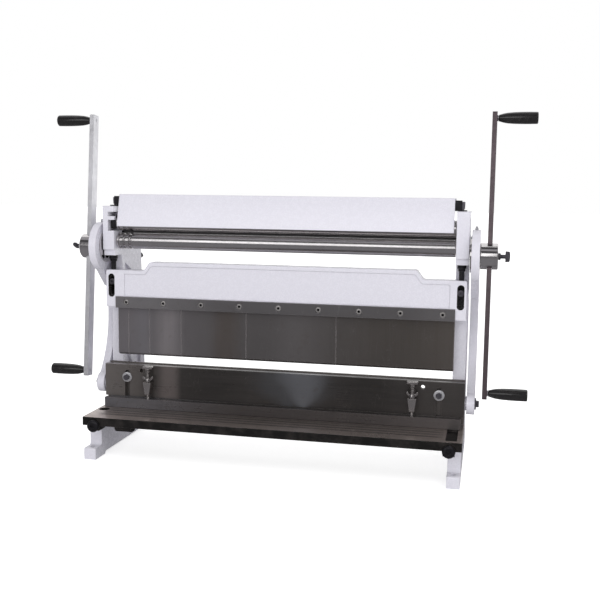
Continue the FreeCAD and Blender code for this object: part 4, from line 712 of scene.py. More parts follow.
def painted(name, rgb, shaded_recess=None):
    """Glossy machine paint on iron or sheet, with painted shade, near black and patchy, inside a
    given box.
    """
    shader, where = blank(name)
    skin = use(paint_skin, where)
    edge_masks = use(worn_and_lit_edges, where, Radius=0.0022, Scale=70.0)
    base = mixed(skin["Shade"], scaled(rgb, 0.99), scaled(rgb, 1.006))
    base = over(base, skin["Dust"], 0.12, (0.52, 0.50, 0.47))
    base = over(base, edge_masks["Mask"], 0.35, (0.42, 0.41, 0.43))
    # Painted shade: inside the box, the beam's end slots and the frame face seen through them, the
    # colour is near black.
    if shaded_recess:
        shade_patches = ramp(noise(where, 120.0, 4.0), 0.4, 0.65)
        slot_shade = mixed(shade_patches, (0.012, 0.011, 0.012), (0.06, 0.056, 0.054))
        base = mixed(inside(where, *shaded_recess), base, slot_shade)
    rough = plus(ramp(skin["Height"], 0.3, 0.7, 0.22, 0.32), times(skin["Dust"], 0.25))
    dress(shader, base, rough, skin["Height"], 0.045, 0.0002, edge_masks["Normal"],
          Coat_Weight=0.3, Coat_Roughness=0.12)


def with_reflection_bands(where, base, rgb, reflection_bands):
    """A base under its painted reflection bands, each over the ones before it."""
    for middle, half, tint, *heights in reflection_bands:
        narrow = dict(zip(("Closed", "Open"), heights))
        mask = use(reflection_band, where, Middle=middle, Half=half, **narrow)["Mask"]
        base = mixed(mask, base, scaled(rgb, tint) if isinstance(tint, float) else tint)
    return base


def ground(name, rgb, stretch, metallic=0.6, rough=(0.30, 0.50), edge=0.0010, bright=4.0,
           brown=0.25, tone=1.3, scale=7.0, band=1.5, reflection_bands=(), cut=0.30, edge_mark="Mask"):
    """Ground iron or steel: cutter lines, oily patches, brown stains, scratches, painted
    reflections in the listed bands, and bright edges, rubbed where they are broken by noise and a
    painted highlight where they are whole.
    """
    shader, where = blank(name)
    lines = use(grain, where, Stretch=stretch)
    patch = use(mottle, where, Scale=scale)
    edge_masks = use(worn_and_lit_edges, where, Radius=edge, Scale=120.0)
    hair = use(scratches, where)["Mask"]
    stripe = use(bands, where, Scale=8.0)["Band"]
    base = mixed(stripe, scaled(rgb, 1 / band), scaled(rgb, band))
    # Painted reflections and highlights: the listed bands lighten or darken upright stripes of the
    # face.
    base = with_reflection_bands(where, base, rgb, reflection_bands)
    base = over(base, patch["Tone"], 0.2 if reflection_bands else 0.5, scaled(rgb, tone))
    base = over(base, patch["Spots"], brown, scaled((1.0, 0.78, 0.60), 0.35 * sum(rgb)))
    base = over(base, lines["Dark"], cut, scaled(rgb, 1.7))
    base = over(base, hair, 0.30, scaled(rgb, 2.6))
    # Bright edges: rubbed wear where the finish asks for "Mask", and a painted highlight along
    # every edge where it asks for "Edge".
    base = over(base, edge_masks[edge_mark], 0.75, scaled(rgb, bright))
    uneven = plus(ramp(patch["Tone"], 0.2, 0.8, rough[1], rough[0]),
                  ramp(lines["Lines"], 0.3, 0.7, -0.05, 0.06))
    height = sums("SUBTRACT", lines["Lines"], times(hair, 0.4))
    dress(shader, base, uneven, height, 0.12, 0.00008, edge_masks["Normal"], Metallic=metallic)


def darkened_lines(where):
    """Where the table's machined lines are drawn darker: bands across y, in their field only."""
    across = sums("DIVIDE", sums("SUBTRACT", split(where)[1], LINE_START), LINE_PITCH)
    line = ramp(away_from(sums("FRACT", across), 0.5), 0.30, 0.10)
    reach = split(vectors("ABSOLUTE", vectors("SUBTRACT", where, FIELD_MIDDLE)))
    field = times(ramp(reach[0], *FIELD_X), ramp(reach[1], *FIELD_Y))
    broken = noise(stretched(where, (5.0, 70.0, 1.0)), 1.0, 2.0)
    return times(times(line, field), ramp(broken, 0.25, 0.50, 0.30, 0.62))


def table_iron(name, rgb):
    """The table: ground on top, raw and almost black on its front rim, ends and pocket, with
    painted reflections on the top, which is drawn lighter towards its front and at both ends.
    """
    shader, where = blank(name)
    lines = use(grain, where, Stretch=(9.0, 700.0, 700.0))
    patch = use(mottle, where, Scale=6.0)
    edge_masks = use(worn_and_lit_edges, where, Radius=0.0018, Scale=90.0)
    hair = use(scratches, where)["Mask"]
    rows = use(grain, where, Stretch=(3.5, 420.0, 1.0))
    x, y, z = split(where)
    # Painted reflection: towards the front the top is drawn about twice as light.
    front = ramp(y, -0.062, -0.140)
    warm = (rgb[0] * 1.06, rgb[1] * 1.01, rgb[2] * 0.99)
    top = mixed(patch["Tone"], scaled(warm, 2.3), scaled(warm, 3.8))
    # Painted highlights: both ends of the top are drawn lighter by the listed bands.
    top = with_reflection_bands(where, top, warm, TABLE_REFLECTIONS)
    top = mixed(front, top, mixed(patch["Tone"], scaled(warm, 5.6), scaled(warm, 7.8)))
    top = over(top, rows["Dark"], 0.30, scaled(warm, 2.9))
    top = mixed(darkened_lines(where), top, scaled(warm, 0.30))
    top = over(top, patch["Spots"], 0.3, (0.125, 0.100, 0.088))
    top = over(top, hair, 0.4, scaled(rgb, 5.0))
    crust = ramp(noise(where, 34.0, 6.0, 0.7), 0.44, 0.66)
    raw = mixed(crust, (0.010, 0.009, 0.0085), (0.034, 0.029, 0.027))
    pocket = times(ramp(x, 0.371, 0.3735), ramp(z, 0.0936, 0.0932))
    faced = times(ramp(upright(where), 0.55, 0.85), sums("SUBTRACT", 1.0, pocket))
    unfaced = sums("SUBTRACT", 1.0, faced)
    base = mixed(faced, raw, top)
    base = over(base, edge_masks["Mask"], 0.7, scaled(rgb, 3.6))
    smooth = ramp(patch["Tone"], 0.2, 0.8, 0.42, 0.27)
    rough = plus(times(faced, smooth), times(unfaced, 0.55))
    cast = times(noise(where, 260.0, 3.0, 0.6), 2.0)
    height = plus(times(faced, lines["Lines"]), times(unfaced, cast))
    dress(shader, base, rough, height, 0.18, 0.0001, edge_masks["Normal"],
          Metallic=plus(times(faced, 0.4), 0.45))


def polished(name, rgb, stretch, rough, relief=0.10, oil=0.20):
    """Turned and polished steel with faint tool rings and a thin film of oil."""
    shader, where = blank(name)
    lines = use(grain, where, Stretch=stretch)
    patch = use(mottle, where, Scale=9.0)
    edge_masks = use(worn_and_lit_edges, where, Radius=0.0008, Scale=150.0)
    base = mixed(patch["Tone"], scaled(rgb, 0.90), scaled(rgb, 1.06))
    base = over(base, lines["Dark"], oil, scaled(rgb, 0.72))
    base = over(base, patch["Spots"], oil, (rgb[0] * 0.6, rgb[1] * 0.558, rgb[2] * 0.516))
    uneven = plus(ramp(patch["Tone"], 0.2, 0.8, rough[1], rough[0]),
                  ramp(lines["Lines"], 0.35, 0.65, -0.02, 0.03))
    dress(shader, base, uneven, lines["Lines"], relief, 0.00003, edge_masks["Normal"], Metallic=1.0)


def plated(name, rgb, rough=(0.24, 0.40), tint=(0.92, 0.94, 1.0), metallic=1.0):
    """Bright zinc plate: crystalline spangle, dull patches and drawn lines."""
    shader, where = blank(name)
    cells = add("TexVoronoi", Vector=where, Scale=330.0)
    spangle = split(cells.outputs["Color"])[0]
    patch = use(mottle, where, Scale=16.0)
    lines = use(grain, where, Stretch=(500.0, 500.0, 18.0))
    edge_masks = use(worn_and_lit_edges, where, Radius=0.0007, Scale=160.0)
    crystal = tuple(a * b for a, b in zip(scaled(rgb, 1.2), tint))
    base = mixed(patch["Tone"], scaled(rgb, 0.78), scaled(rgb, 1.08))
    base = over(base, spangle, 0.18, crystal)
    base = over(base, lines["Dark"], 0.18, scaled(rgb, 0.6))
    base = over(base, edge_masks["Mask"], 0.4, scaled(rgb, 1.35))
    uneven = plus(ramp(patch["Tone"], 0.2, 0.8, rough[1], rough[0]), times(spangle, 0.05))
    height = plus(lines["Lines"], times(spangle, 0.3))
    dress(shader, base, uneven, height, 0.10, 0.00005, edge_masks["Normal"], Metallic=metallic)


def blackened(name, rgb, sunk=None):
    """Oil-blacked steel, browned by handling, metal at its edges, and painted shade, near black,
    inside a given box.
    """
    shader, where = blank(name)
    patch = use(mottle, where, Scale=30.0)
    edge_masks = use(worn_and_lit_edges, where, Radius=0.0006, Scale=210.0)
    base = mixed(patch["Tone"], scaled(rgb, 0.7), scaled(rgb, 1.9))
    base = over(base, patch["Spots"], 0.4, (0.055, 0.040, 0.030))
    base = over(base, edge_masks["Mask"], 0.7, (0.22, 0.215, 0.22))
    # Painted shade: inside the box, the clamp screws' sockets and all behind their heads' faces,
    # the colour is near black.
    if sunk:
        base = mixed(inside(where, *sunk), base, (0.004, 0.004, 0.004))
    rough = ramp(patch["Tone"], 0.2, 0.8, 0.46, 0.28)
    dress(shader, base, rough, noise(where, 900.0, 2.0), 0.10, 0.00005, edge_masks["Normal"],
          Metallic=0.75)


def moulded(name, rgb):
    """Hard glossy plastic with a faint flow pattern and finger marks."""
    shader, where = blank(name)
    flow = noise(stretched(where, (30.0, 160.0, 160.0)), 1.0, 3.0)
    marks = ramp(noise(where, 75.0, 5.0, 0.65), 0.5, 0.7)
    base = mixed(flow, scaled(rgb, 0.8), scaled(rgb, 1.7))
    base = over(base, marks, 0.12, (0.09, 0.085, 0.08))
    rough = plus(times(marks, 0.16), 0.17)
    dress(shader, base, rough, noise(where, 520.0, 2.0), 0.08, 0.00006,
          Coat_Weight=0.2, Coat_Roughness=0.08)


def make_finishes(c):
    """Makes each finish once, from the scene's colours. Pieces ask for them by name."""
    recipes = {
        "machine paint": (painted, c.paint, {"shaded_recess": END_SLOT_SHADE}),
        "sheet paint": (painted, scaled(c.paint, 1.02), {}),
        "table iron": (table_iron, c.iron, {}),
        # Painted reflections and highlights: the plate, dies, clamp bar and blades take lighter and
        # darker upright bands from their lists, and where their edges are asked for as "Edge" a
        # bright line along every edge.
        "plate iron": (ground, c.iron, dict(
            stretch=(14.0, 500.0, 650.0), rough=(0.26, 0.44), edge=0.0018, bright=4.2, scale=6.0,
            band=1.15, reflection_bands=PLATE_REFLECTIONS, cut=0.16, edge_mark="Edge")),
        "beam iron": (ground, scaled(c.iron, 1.7), dict(stretch=(12.0, 600.0, 600.0), bright=2.4)),
        "die steel": (ground, c.die, dict(
            stretch=(420.0, 420.0, 9.0), rough=(0.30, 0.44), edge=0.0024, bright=9.0, tone=1.2,
            brown=0.15, scale=4.0, band=1.08, reflection_bands=DIE_REFLECTIONS, cut=0.14, edge_mark="Edge")),
        "clamp steel": (ground, c.clamp, dict(
            stretch=(16.0, 700.0, 700.0), rough=(0.32, 0.44), edge=0.0016, bright=4.5, brown=0.2,
            scale=9.0, band=1.15, reflection_bands=CLAMP_REFLECTIONS, cut=0.16, edge_mark="Edge")),
        "blade steel": (ground, c.tool, dict(
            stretch=(10.0, 800.0, 800.0), metallic=0.7, rough=(0.24, 0.38), edge=0.0009,
            bright=3.6, brown=0.3, scale=9.0, band=1.25, reflection_bands=BLADE_REFLECTIONS)),
        "gear steel": (ground, c.gear, dict(
            stretch=(600.0, 60.0, 60.0), metallic=0.9, rough=(0.30, 0.45), edge=0.0006,
            bright=1.8, brown=0.5, scale=25.0, band=1.1)),
        "roll steel": (polished, c.roll, dict(
            stretch=(1100.0, 14.0, 14.0), rough=(0.15, 0.22), relief=0.022, oil=0.10)),
        # Painted shade: the rear roll, deep under the cover, is a dark, dull copy of the roll
        # steel.
        "rear roll steel": (polished, scaled(c.roll, 0.22), dict(
            stretch=(1100.0, 14.0, 14.0), rough=(0.40, 0.52), relief=0.05, oil=0.30)),
        "hub steel": (polished, scaled(c.roll, 1.08), dict(
            stretch=(900.0, 20.0, 20.0), rough=(0.07, 0.13), relief=0.05, oil=0.15)),
        "bright zinc": (plated, c.zinc, {}),
        "washer zinc": (plated, scaled(c.zinc, 0.9), dict(rough=(0.30, 0.40), metallic=0.55)),
        "stud steel": (plated, (0.53, 0.50, 0.485), dict(rough=(0.14, 0.28))),
        # Painted light and shade: both crank bars are the same plated part, the left one's zinc
        # drawn as a lighter copy and the right one's as a darker, browner copy.
        "bar zinc": (plated, scaled(c.zinc, 1.18), dict(rough=(0.28, 0.42), metallic=0.8)),
        "bar brown": (plated, (0.205, 0.168, 0.180), dict(
            rough=(0.30, 0.46), tint=(1.0, 0.95, 0.97))),
        "tie steel": (polished, scaled(c.zinc, 0.8), dict(
            stretch=(700.0, 20.0, 20.0), rough=(0.22, 0.34))),
        "blackened steel": (blackened, c.black, {}),
        "screw steel": (blackened, scaled(c.black, 4.2), {}),
        "knob steel": (blackened, scaled(c.black, 9.0), {}),
        "clamp screw steel": (blackened, (0.330, 0.315, 0.310), {"sunk": CLAMP_SOCKET_SHADE}),
        "brass": (polished, c.brass, dict(stretch=(300.0, 300.0, 30.0), rough=(0.20, 0.36))),
        "grip plastic": (moulded, c.grip, {}),
    }
    for name, (maker, rgb, options) in recipes.items():
        if name not in bpy.data.materials:
            maker(name, rgb, **options)


class Maker:
    """What the makers share: one step in the undo list, and the finishes."""
    bl_options = {"REGISTER", "UNDO"}

    def execute(self, context):
        make_finishes(context.scene.roll_machine_colours)
        self.build(context.scene.roll_machine_sizes)
        return {"FINISHED"}


# ---------------------------------------------------------------------------------------------
# Castings, plates and cover
# ---------------------------------------------------------------------------------------------
class ROLLMACHINE_OT_castings(Maker, bpy.types.Operator):
    """Painted castings: both side frames, the upper beam and the two bowed arms"""
    bl_idname = "rollmachine.castings"
    bl_label = "Painted castings"

    def build(self, sizes):
        for node in ("left_side_frame", "right_side_frame", "upper_beam", "link_arm_left",
                     "link_arm_right"):
            width = sizes.casting_edge * (1.6 if node.startswith("link_arm") else 1.0)
            eased(node + "_painted", node, "machine paint", width,
                  convex=node.endswith("frame"))


class ROLLMACHINE_OT_cover(Maker, bpy.types.Operator):
    """Folded sheet cover over the rolls, and the brackets that hang it"""
    bl_idname = "rollmachine.cover"
    bl_label = "Roll cover"

    def build(self, sizes):
        low, high, front, lean, end = 507.0, 579.0, -24.0, 18.0, 373.5
        top, back = front + lean, front + lean + 66.0
        line = [(front + 4.5, low), (front, low), (top, high), (back, high), (back, high - 14)]
        sheet = folded(line, 1.5, -end, end, 2.2)
        foot = [(front + 0.6, low + 0.2), (front + 2.2, low + 0.2),
                (top + 2.6, high - 1.2), (top + 0.8, high - 1.2)]
        lip = slab(foot, end - 2.0, end - 0.3, "X", 0.2)
        make("folded_cover", "roll_cover", [sheet, *pair(lip)], "sheet paint", 40)
        eased("cover_hangers", "cover_brackets", "blackened steel", 0.0004)


class ROLLMACHINE_OT_bed(Maker, bpy.types.Operator):
    """Table, blades, moving beam and front plate, ground and oiled"""
    bl_idname = "rollmachine.bed"
    bl_label = "Table and bed"

    def build(self, sizes):
        edge = sizes.plate_edge
        for name, node, what, width in (
                ("ground_table", "table", "table iron", edge * 1.4),
                ("ground_plate", "front_plate", "plate iron", edge * 1.9),
                ("rising_beam", "moving_beam", "beam iron", edge),
                ("lower_blade", "lower_shear_blade", "blade steel", edge / 2),
                ("upper_blade", "upper_shear_blade", "blade steel", edge / 2)):
            eased(name, node, what, width)


def socket_screw(head, deep, socket, sunk, shank, whole):
    """Profile of a cap screw, from the bottom of its hexagon socket round the head to the tip."""
    rim = 0.09 * head
    return [(sunk, 0), (sunk, socket, 1), (0.35, socket, 1), (0, socket + 0.35, 1),
            (0, head - rim * 2), (rim * 0.5, head - rim * 0.6), (rim * 1.6, head),
            (deep - 0.3, head), (deep, head - 0.3), (deep, shank), (whole - 0.6, shank),
            (whole, shank - 0.6), (whole, 0)]


class ROLLMACHINE_OT_brake(Maker, bpy.types.Operator):
    """Clamp bar with its nine socket screws, and the six finger dies"""
    bl_idname = "rollmachine.brake"
    bl_label = "Clamp bar and dies"

    def build(self, sizes):
        eased("clamp_flat", "clamp_bar", "clamp steel", sizes.plate_edge)
        for node in sorted(n for n in frame["nodes"] if n.startswith("finger_die_")):
            eased(node.replace("finger_die", "finger"), node, "die steel", 0.0005,
                  segments=2)
        screw = turned(socket_screw(6.5, 7.7, 3.0, 4.7, 4.0, 30.7), "Y", (0, -18.0, 335.0), 36)
        row = [moved(screw, (CLAMP_PITCH * i, 0, 0)) for i in range(-4, 5)]
        make("clamp_cap_screws", "clamp_screws", row, "clamp screw steel")


# ---------------------------------------------------------------------------------------------
# Rolls, cranks and grips
# ---------------------------------------------------------------------------------------------
def grooved_roll():
    """Rows of a roll's working length: radius 18, less a half circle for each wire groove."""
    x = np.unique(np.concatenate([[-ROLL_END + 0.5, ROLL_END - 0.5], *[
        -ROLL_END + place + np.linspace(-size, size, 25) for place, size in WIRE_GROOVES]]))
    cut = sum(np.sqrt(np.maximum(size ** 2 - (x + ROLL_END - place) ** 2, 0))
              for place, size in WIRE_GROOVES)
    return [(-ROLL_END, ROLL_RADIUS - 0.6), (-ROLL_END + 0.2, ROLL_RADIUS - 0.2),
            *zip(x, ROLL_RADIUS - cut),
            (ROLL_END - 0.2, ROLL_RADIUS - 0.2), (ROLL_END, ROLL_RADIUS - 0.6)]


def journalled(rows, left, right, chamfer=0.5):
    """A roll's profile: its working rows between a left journal and the steps of its right end.

    The journal and each step are (where it ends, radius), and both ends are chamfered.
    """
    (start, first), (stop, last) = left, right[-1]
    return [(start, 0), (start, first - chamfer), (start + chamfer, first), (-ROLL_END, first),
            *rows, (ROLL_END, right[0][1]), *right[:-1], (stop - chamfer, last),
            (stop, last - chamfer), (stop, 0)]


class ROLLMACHINE_OT_rolls(Maker, bpy.types.Operator):
    """Three forming rolls with their wire grooves, the gears, blocks and bushes"""
    bl_idname = "rollmachine.rolls"
    bl_label = "Rolls and gears"

    def build(self, sizes):
        body = grooved_roll()
        plain = [(-ROLL_END, 17.4), (-ROLL_END + 0.6, ROLL_RADIUS),
                 (ROLL_END - 0.6, ROLL_RADIUS), (ROLL_END, 17.4)]
        ends = [(392, 10), (392, 8), (404.5, 8)]
        for name, node, what, middle, rows, left, right in (
                ("driven_roll", "lower_roll", "roll steel", (0, 0, LOWER_Z), body,
                 (-438.6, 11), [(438.6, 11)]),
                ("idler_roll", "upper_roll", "roll steel", (0, 0, UPPER_Z), body,
                 (-391, 10), ends),
                ("bending_roll", "rear_roll", "rear roll steel", (0, REAR_Y, REAR_Z), plain,
                 (-391, 10), [(391, 10)])):
            shape = turned(journalled(rows, left, right), "X", middle, sizes.turned_sides)
            make(name, node, [shape], what)
        for node in ("lower_roll_gear", "upper_roll_gear"):
            eased(node.replace("roll_gear", "pinion"), node, "gear steel", 0.0002,
                  segments=1)
        for node in ("upper_roll_blocks", "rear_roll_blocks"):
            eased(node.replace("roll_blocks", "bearings"), node, "blackened steel",
                  0.0005, segments=2)
        for node, what in (("lower_roll_bushes", "brass"), ("eccentric_sheaves", "hub steel")):
            finish(frame["nodes"][node], what)


def grip_axis(end):
    """Y and Z of a grip's axis at the upper (+1) or lower (-1) end of a crank bar."""
    return (end * GRIP_REACH * math.sin(BAR_TILT),
            HUB_Z + end * GRIP_REACH * math.cos(BAR_TILT))


def grip_profile():
    """A waisted grip: straight runs between its sizes, a running mean over them, its recess."""
    runs = np.array([(2.5, 6.2), (4.2, 7.4), (8.0, 7.8), (11, 9.1), (20, 10.9), (34, 12.0),
                     (50, 12.45), (66, 12.5), (79.8, 12.3)])
    x = np.linspace(2.5, 79.8, 60)
    r = np.interp(x, *runs.T)
    smooth = np.convolve(np.pad(r, 2, mode="edge"), np.ones(5) / 5, mode="valid")
    smooth[0] = r[0]
    return [(2.5, 4.1), (2.5, 5.2), *zip(x, smooth), (80.9, 12.0), (81.6, 11.4), (82, 10.5),
            (82, 7.8), (81.6, 7.3), (74.8, 7.15), (74.8, 4.1)]


# Profiles in millimetres, as rows that turned() reads: along, radius and its three weights.
SHOULDER_BOLT = [
    (-9.5, 0), (-9.5, 4), (0, 4), (0, 6.1), (0.4, 6.5), (1.9, 6.5), (2.2, 6.2), (2.2, 4),
    (75.0, 4), (75.0, 6.6), (75.4, 7), (79.0, 7), (79.5, 6.5), (79.5, 3.2, 1), (77.0, 3.0, 1),
    (77.0, 0)]
THUMB_STEM = [
    (452.9, 0), (452.9, 4), (464.9, 4), (464.95, 6.7), (465.5, 7.2), (469.1, 7.2), (469.6, 6.7),
    (469.8, 4.6), (471, 4.3), (480, 4.3), (480, 0)]


class ROLLMACHINE_OT_cranks(Maker, bpy.types.Operator):
    """Hubs, flat crank bars, turning grips on shoulder bolts, and the thumb screws"""
    bl_idname = "rollmachine.cranks"
    bl_label = "Cranks and grips"

    def build(self, sizes):
        for side, flip in SIDES:
            # Painted shade on the right bar and painted light on the left: they take a darker and a
            # lighter copy of one zinc.
            bar = "bar brown" if side == "right" else "bar zinc"
            eased("hub_" + side, "crank_hub_" + side, "hub steel", 0.0006)
            eased("flat_bar_" + side, "crank_bar_" + side, bar, 0.0006)
            bolts = []
            for label, end in (("upper", 1), ("lower", -1)):
                middle = (BAR_OUT, *grip_axis(end))
                grip = turned(grip_profile(), "X", middle, 64, ring=True)
                make("grip_%s_%s_turned" % (side, label), "grip_%s_%s" % (side, label),
                     flip([grip]), "grip plastic", 50)
                bolts.append(turned(SHOULDER_BOLT, "X", middle, 40))
            make("grip_shoulder_bolts_" + side, "grip_bolts_" + side, flip(bolts),
                 "bright zinc")
        stem = turned(THUMB_STEM, "X", (0, 0, HUB_Z), 40)
        bow = np.linspace(-1, 1, 9)
        upright_side = np.stack([479.3 + 0 * bow, 11.4 * bow], 1)
        bowed_side = np.stack([489.1 - 1.2 * bow ** 2, -10.6 * bow], 1)
        paddle = softened(np.concatenate([upright_side, bowed_side]), 1.4, closed=True)
        right = slab(paddle + (0, HUB_Z), -3.5, 3.5, "Y", 1.4)
        make("thumb_screw_right", "lock_screw_right", [stem, right], "screw steel")
        turn, middle = math.radians(65), np.array((0, 0, HUB_Z))
        about = np.array([(1, 0, 0), (0, math.cos(turn), -math.sin(turn)),
                          (0, math.sin(turn), math.cos(turn))])
        left = (right[0] - middle) @ about.T + middle, right[1]
        make("thumb_screw_left", "lock_screw_left", mirrored([stem, left]),
             "screw steel")


# ---------------------------------------------------------------------------------------------
# Fasteners and the hold-down
# ---------------------------------------------------------------------------------------------
TABLE_DOME = [
    (4.2, 0), (4.2, 5, 1), (0.6, 5, 1), (0.2, 5.6, 0.6), (0.2, 8.8), (0.9, 11.0), (2.4, 12.8),
    (4.6, 13.5), (7.8, 13.4), (9, 12.9), (9, 0)]
TABLE_SHANK = [(0, 0), (0, 5), (57, 5), (57, 0)]
PLATE_BOLT = [
    (0.5, 0), (0.5, 4.6), (0, 5.2), (0, 5.9), (0.5, 6.3, 0.2), (1.3, 7.0, 1), (7.5, 7.0, 1),
    (7.5, 4.8), (37, 4.8), (37, 0)]
PLATE_RING = [(0, 5.0), (0, 10.7), (0.3, 11.3), (0.9, 11.5), (2.5, 11.5), (2.5, 5.0), (1.5, 4.85)]
PIVOT_BOLT = [
    (385, 0), (385, 7), (428, 7), (428, 12), (428.5, 12.5), (430.4, 12.5), (431, 11.9),
    (431, 7.5, 1), (435.8, 7.5, 1), (436.7, 6.9, 0.5), (437, 6.1), (437, 0)]
TIE_ROD = [
    (-407.6, 0), (-407.6, 7), (-INNER, 7), (-INNER, 10.5), (-INNER + 0.5, 11),
    (INNER - 0.5, 11), (INNER, 10.5), (INNER, 7), (407.6, 7), (407.6, 0)]
TIE_CAP = [
    (407.6, 0), (407.6, 9.7), (407.9, 10), (409.2, 10), (410.4, 8.4), (410.4, 3.6, 1),
    (408.8, 3.4, 1), (408.8, 0)]
JACK_SCREW = [
    (401, 0), (401, 5.9, 0, 0, 0.5), (426, 5.9, 0, 0, 0.5), (427, 6.4), (427.3, 7.7),
    (432.5, 7.9), (432.8, 9.2), (433.3, 9.7), (440.2, 9.7), (440.7, 9.2), (440.7, 0)]
ROLL_SCREW = [
    (529, 0), (529, 4), (556, 4), (557, 5.0), (557.6, 5.5), (558.2, 5.7, 0, 1),
    (570.2, 6.2, 0, 1), (571, 6.0), (572, 5.2), (572, 0)]
REAR_SCREW = [
    (14, 0), (14, 4, 0, 0, 0.4), (112.6, 4, 0, 0, 0.4), (113, 5.2), (113.8, 6, 1),
    (120.2, 6, 1), (121, 5.2), (121, 0)]
OIL_CUP = [
    (507, 0), (507, 2.4), (514.7, 2.4), (515.2, 3.3, 1), (517.4, 3.6, 1), (517.8, 2.9),
    (519, 2.6), (519.6, 3.0), (520.6, 2.9), (521.6, 2.0), (522, 0.8), (522, 0)]


class ROLLMACHINE_OT_fasteners(Maker, bpy.types.Operator):
    """Screws, bolts, washers, tie rods, adjusting screws and oil cups"""
    bl_idname = "rollmachine.fasteners"
    bl_label = "Fasteners"

    def build(self, sizes):
        black, steel = "blackened steel", "screw steel"
        bolt = turned(socket_screw(6.9, 9.2, 3.4, 4.5, 5.0, 53.5), "Y", (LUG_X, -13.5, 381.0), 40)
        make("beam_cap_bolts", "beam_bolts", pair(bolt), steel)
        head = turned(softened(TABLE_DOME, 0.5), "Y", (382.0, -147.0, 77.0), 56)
        shank = turned(TABLE_SHANK, "Y", (382.0, -140.0, 73.0), 32)
        make("table_dome_screws", "table_screws", pair(head, shank), black)
        hexagon = turned(PLATE_BOLT, "Y", (BOLT_X, -30.0, BOLT_Z), 48)
        make("plate_hexagon_bolts", "plate_bolts", pair(hexagon), steel)
        washer = turned(PLATE_RING, "Y", (BOLT_X, -22.5, BOLT_Z), 64, ring=True)
        make("plate_rings", "plate_washers", pair(washer), "washer zinc")
        pivot = turned(PIVOT_BOLT, "X", (0, 0, PIVOT_Z), 48)
        make("pivot_flange_bolts", "pivot_bolts", pair(pivot), steel)
        rods, caps = ([turned(rows, "X", (0, TIE_Y, z), 48) for z in TIE_Z]
                      for rows in (TIE_ROD, TIE_CAP))
        make("cross_rods", "tie_rods", rods, "tie steel")
        make("cross_rod_caps", "tie_rod_screws", pair(*caps), black)
        jack = turned(divided(JACK_SCREW, 0.45), "Z", (LUG_X, -2, 0), 40, pitch=1.75)
        for side, flip in SIDES:
            make("jack_" + side, "jack_screw_" + side, flip([jack]), black)
        roll = turned(divided(ROLL_SCREW, 0.4), "Z", (SCREW_X, 6, 0), 104,
                      knurl=(sizes.knurls, 1.5, 0.35))
        make("roll_setting_screws", "upper_roll_screws", pair(roll), "knob steel")
        slope = (0, math.cos(REAR_SLOPE), -math.sin(REAR_SLOPE))
        rear = turned(divided(REAR_SCREW, 0.5), slope, (386, REAR_Y, REAR_Z), 48, pitch=1.5)
        make("rear_setting_screws", "rear_roll_screws", pair(rear), steel)
        cup = turned(OIL_CUP, "Z", (419.5, 0, 0), 36)
        make("oil_cups", "oil_nipples", pair(cup), "washer zinc")


HOLD_STUD = [
    (105.7, 0), (105.7, 4.5), (118, 4.5), (119, 4.5, 0, 0, 0.55), (183, 4.5, 0, 0, 0.55),
    (184, 4.5), (184, 5.7), (184.4, 6), (187, 6), (187, 0)]
STUD_CAP = [(-12, 186.5), (12, 186.5), (12, 193.5), (-12, 193.5)]
NUT_HUB = [(157.3, 4.6), (157.3, 5.8), (157.9, 6.3), (165.4, 5.85), (166.3, 5.2), (166.3, 4.6)]
NUT_WING = [
    (4.2, 158.6), (8, 160.2), (12.7, 165.0), (13, 169.6), (11.2, 171.3), (8.8, 170.8),
    (6.4, 166.2), (4.2, 165.4)]


class ROLLMACHINE_OT_hold_down(Maker, bpy.types.Operator):
    """Hold-down bar, threaded studs, guide brackets, wing nuts and springs"""
    bl_idname = "rollmachine.hold_down"
    bl_label = "Hold-down"

    def build(self, sizes):
        zinc = "stud steel"
        eased("pressing_bar", "hold_down_bar", "blade steel", sizes.plate_edge)
        eased("guide_brackets", "hold_down_brackets", zinc, 0.0008)
        place = (HOLD_X, HOLD_Y, 0)

        def upright_plate(outline, half, edge):
            """A plate that stands across Y at the stud."""
            return slab(outline + (HOLD_X, 0), HOLD_Y - half, HOLD_Y + half, "Y", edge)

        stud = turned(divided(HOLD_STUD, 0.42), "Z", place, 40, pitch=sizes.stud_pitch / MM)
        cap = upright_plate(softened(STUD_CAP, 2.6, closed=True), 4.8, 1.6)
        make("threaded_studs", "hold_down_studs", pair(stud, cap), zinc)
        hub = turned(NUT_HUB, "Z", place, 44, ring=True)
        wing = softened(NUT_WING, 1.6, closed=True)
        wings = [upright_plate(wing * (way, 1), 2.2, 1.4) for way in (1, -1)]
        spring = coil(place, 5.65, 0.8, 167.3, 183.0, 5)
        for side, flip in SIDES:
            make("winged_nut_" + side, "wing_nut_" + side, flip([hub, *wings]), zinc, 40)
            make("coil_spring_" + side, "hold_down_spring_" + side, flip([spring]), zinc, 60)


# ---------------------------------------------------------------------------------------------
# Stage
# ---------------------------------------------------------------------------------------------
WHITE = (1.0, 1.0, 1.0, 1.0)
FLOOR_REACH, TENT_REACH, TENT_RISE = 30.0, 6.5, 0.002


def swept(run, height, start, stop, count):
    """An open surface: a profile carried about the upright axis from one angle to another.

    The profile is runs out from the axis with their heights. At angle a a point stands at
    (run sin a, -run cos a, height), so that 0 degrees is straight in front.
    """
    a = np.radians(np.linspace(start, stop, count))
    run, height = run[:, None], height[:, None]
    points = np.stack([run * np.sin(a), -run * np.cos(a), height + 0 * a], 2)
    quads = lattice(len(run), count).reshape(-1, count, 4)[:, :-1]
    return points.reshape(-1, 3), quads.reshape(-1, 4)


